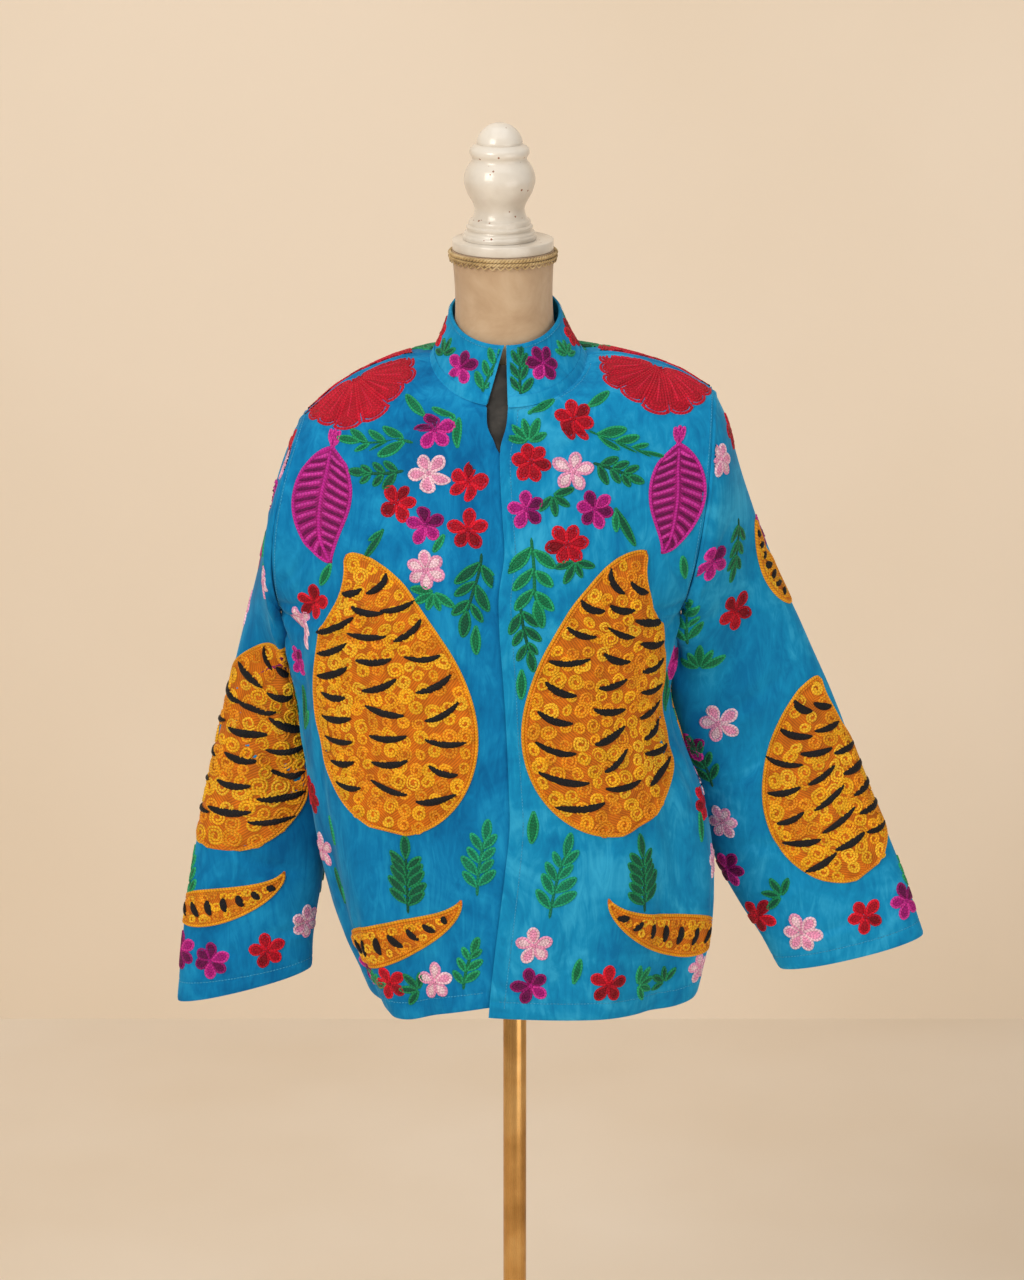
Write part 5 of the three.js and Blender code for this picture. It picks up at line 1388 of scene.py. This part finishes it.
ringZ = np.concatenate([np.arange(0, 24, 0.9), np.arange(24, 120.4, 1.5), [120.4]])
ringR = sample(finialProfile, "z", ringZ)["r"]
for grooveZ, cut in ((5.6, 1.0), (9.4, 1.3), (14.9, 1.2), (21.6, 1.0), (86.2, 0.9), (95.6, 0.8)):
    ringR = ringR - cut * bell(ringZ - grooveZ, 0.9)
profiles = {                              # radius and height of each ring, in mm above the foot
    "neck_cap": [(51.2, 0), (52.2, 0.4), (52.5, 1.4), (52.5, 9.6), (52.1, 10.5), (51.3, 10.8)],
    "pole_socket": [(15, 0), (17.5, 1.2), (17.5, 22), (18.5, 24), (24, 27), (24, 32)],
    "base_hub": [(33.4, 0), (34, 0.6), (34, 6), (30, 9), (25, 12), (22, 15), (20, 19), (19, 24), (19, 37.6),
                 (18.2, 39.4), (17, 40)],
    "base_disc": [(168.5, 0), (170, 1.5), (170, 7), (168.6, 9.4), (166, 11), (161, 12)],
}
gap, plateThickness, poleRadius = 0.3, 8, 12.5
capZ = form["top"] + gap
socketZ = form["bottom"] - gap - plateThickness - gap - profiles["pole_socket"][-1][1]
hubZ = profiles["base_disc"][-1][1] + gap
poleZ = hubZ + profiles["base_hub"][-1][1] + gap
poleLength = socketZ - gap - poleZ
wood, metal = (paint, "painted_wood"), (brass, "brass")
finialZ = form["top"] + profiles["neck_cap"][-1][1] + 2 * gap
turnOnLathe("finial_turned", list(zip(ringR, ringZ)), neckX - 3.5, finialZ, *wood, "finial", bevel=0)
turnOnLathe("neck_cap_turned", profiles["neck_cap"], neckX, capZ, *wood, "neck_cap", bevel=0.4)
turnOnLathe("pole_socket_turned", profiles["pole_socket"], 0, socketZ, *metal, "pole_socket")
turnOnLathe("pole_tube", [(poleRadius, poleLength * share) for share in (0, 0.4, 1)], 0, poleZ, *metal, "pole",
            sides=96, bevel=0.2)
turnOnLathe("base_hub_turned", profiles["base_hub"], 0, hubZ, *metal, "base_hub")
turnOnLathe("base_disc_spun", profiles["base_disc"], 0, 0, *metal, "base_disc", sides=128)
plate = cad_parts["torso_plate"]
plate.data.materials.clear()
plate.data.materials.append(board)
print("jacket: stand ready")


# Floor, wall, light and camera
def plasterAndStone(name, pale, dark, scale):
    material, tree, coords = newMaterial(name)
    cloud = noise(tree, coords, scale, 3.0)
    return finishMaterial(material, {"Base Color": ramp(tree, cloud, (0.35, dark), (0.65, pale)), "Roughness": 0.85})


def clearFromBehind(material):            # a view from behind the wall looks through it
    tree = material.node_tree
    solid = next(n for n in tree.nodes if n.type == "BSDF_PRINCIPLED")
    output = next(n for n in tree.nodes if n.type == "OUTPUT_MATERIAL")
    behind = addNode(tree, "NewGeometry").outputs["Backfacing"]
    both = addNode(tree, "MixShader", inputs={0: behind, 1: solid, 2: addNode(tree, "BsdfTransparent")})
    tree.links.new(both.outputs[0], output.inputs["Surface"])
    return material


def stageSheet(name, corners, material):
    meshObject(name, corners, [(0, 1, 2, 3)], material, False)


stageSheet("floor", [(-6, -6, 0), (6, -6, 0), (6, 1.9, 0), (-6, 1.9, 0)],
           plasterAndStone("pale_stone_floor", "#f0e4d4", "#e9dac6", 1.3))
stageSheet("wall", [(-6, 1.9, 0), (6, 1.9, 0), (6, 1.9, 6), (-6, 1.9, 6)],
           clearFromBehind(plasterAndStone("cream_plaster_wall", "#f0e2d0", "#e8d8c2", 0.8)))


def softLight(name, place, target, size, power, colour):
    data = bpy.data.lights.new(name, "AREA")
    data.shape, data.size, data.energy, data.color = "SQUARE", size, power, linear(colour)[:3]
    lamp = bpy.data.objects.new(name, data)
    lamp.location = place
    lamp.rotation_euler = (Vector(target) - Vector(place)).to_track_quat("-Z", "Y").to_euler()
    bpy.context.scene.collection.objects.link(lamp)


softLight("window", (-2.6, -3.4, 3.6), (0, 0, 1.1), 2.2, 128, "#fff6ea")
softLight("room", (2.8, -3.2, 1.0), (0.1, 0, 1.0), 3.0, 52, "#fff9f2")
softLight("ceiling", (0, -0.6, 4.4), (0, 0.2, 0), 3.5, 40, "#ffffff")
world = bpy.data.worlds.new("soft_room")
world.use_nodes = True
world.node_tree.nodes["Background"].inputs["Color"].default_value = linear("#f8f3ec")
world.node_tree.nodes["Background"].inputs["Strength"].default_value = 0.38
bpy.context.scene.world = world

view = {"lens": 138, "sensor": 36, "pitch": 15.5, "place": (-0.003, -5.0, 2.50)}
camera = bpy.data.cameras.new("camera")
camera.lens, camera.sensor_fit = view["lens"], "VERTICAL"
camera.sensor_height = view["sensor"]
viewpoint = bpy.data.objects.new("camera", camera)
viewpoint.location = view["place"]
viewpoint.rotation_euler = (math.radians(90 - view["pitch"]), 0, 0)
bpy.context.scene.collection.objects.link(viewpoint)
bpy.context.scene.camera = viewpoint
print("jacket: stage ready")
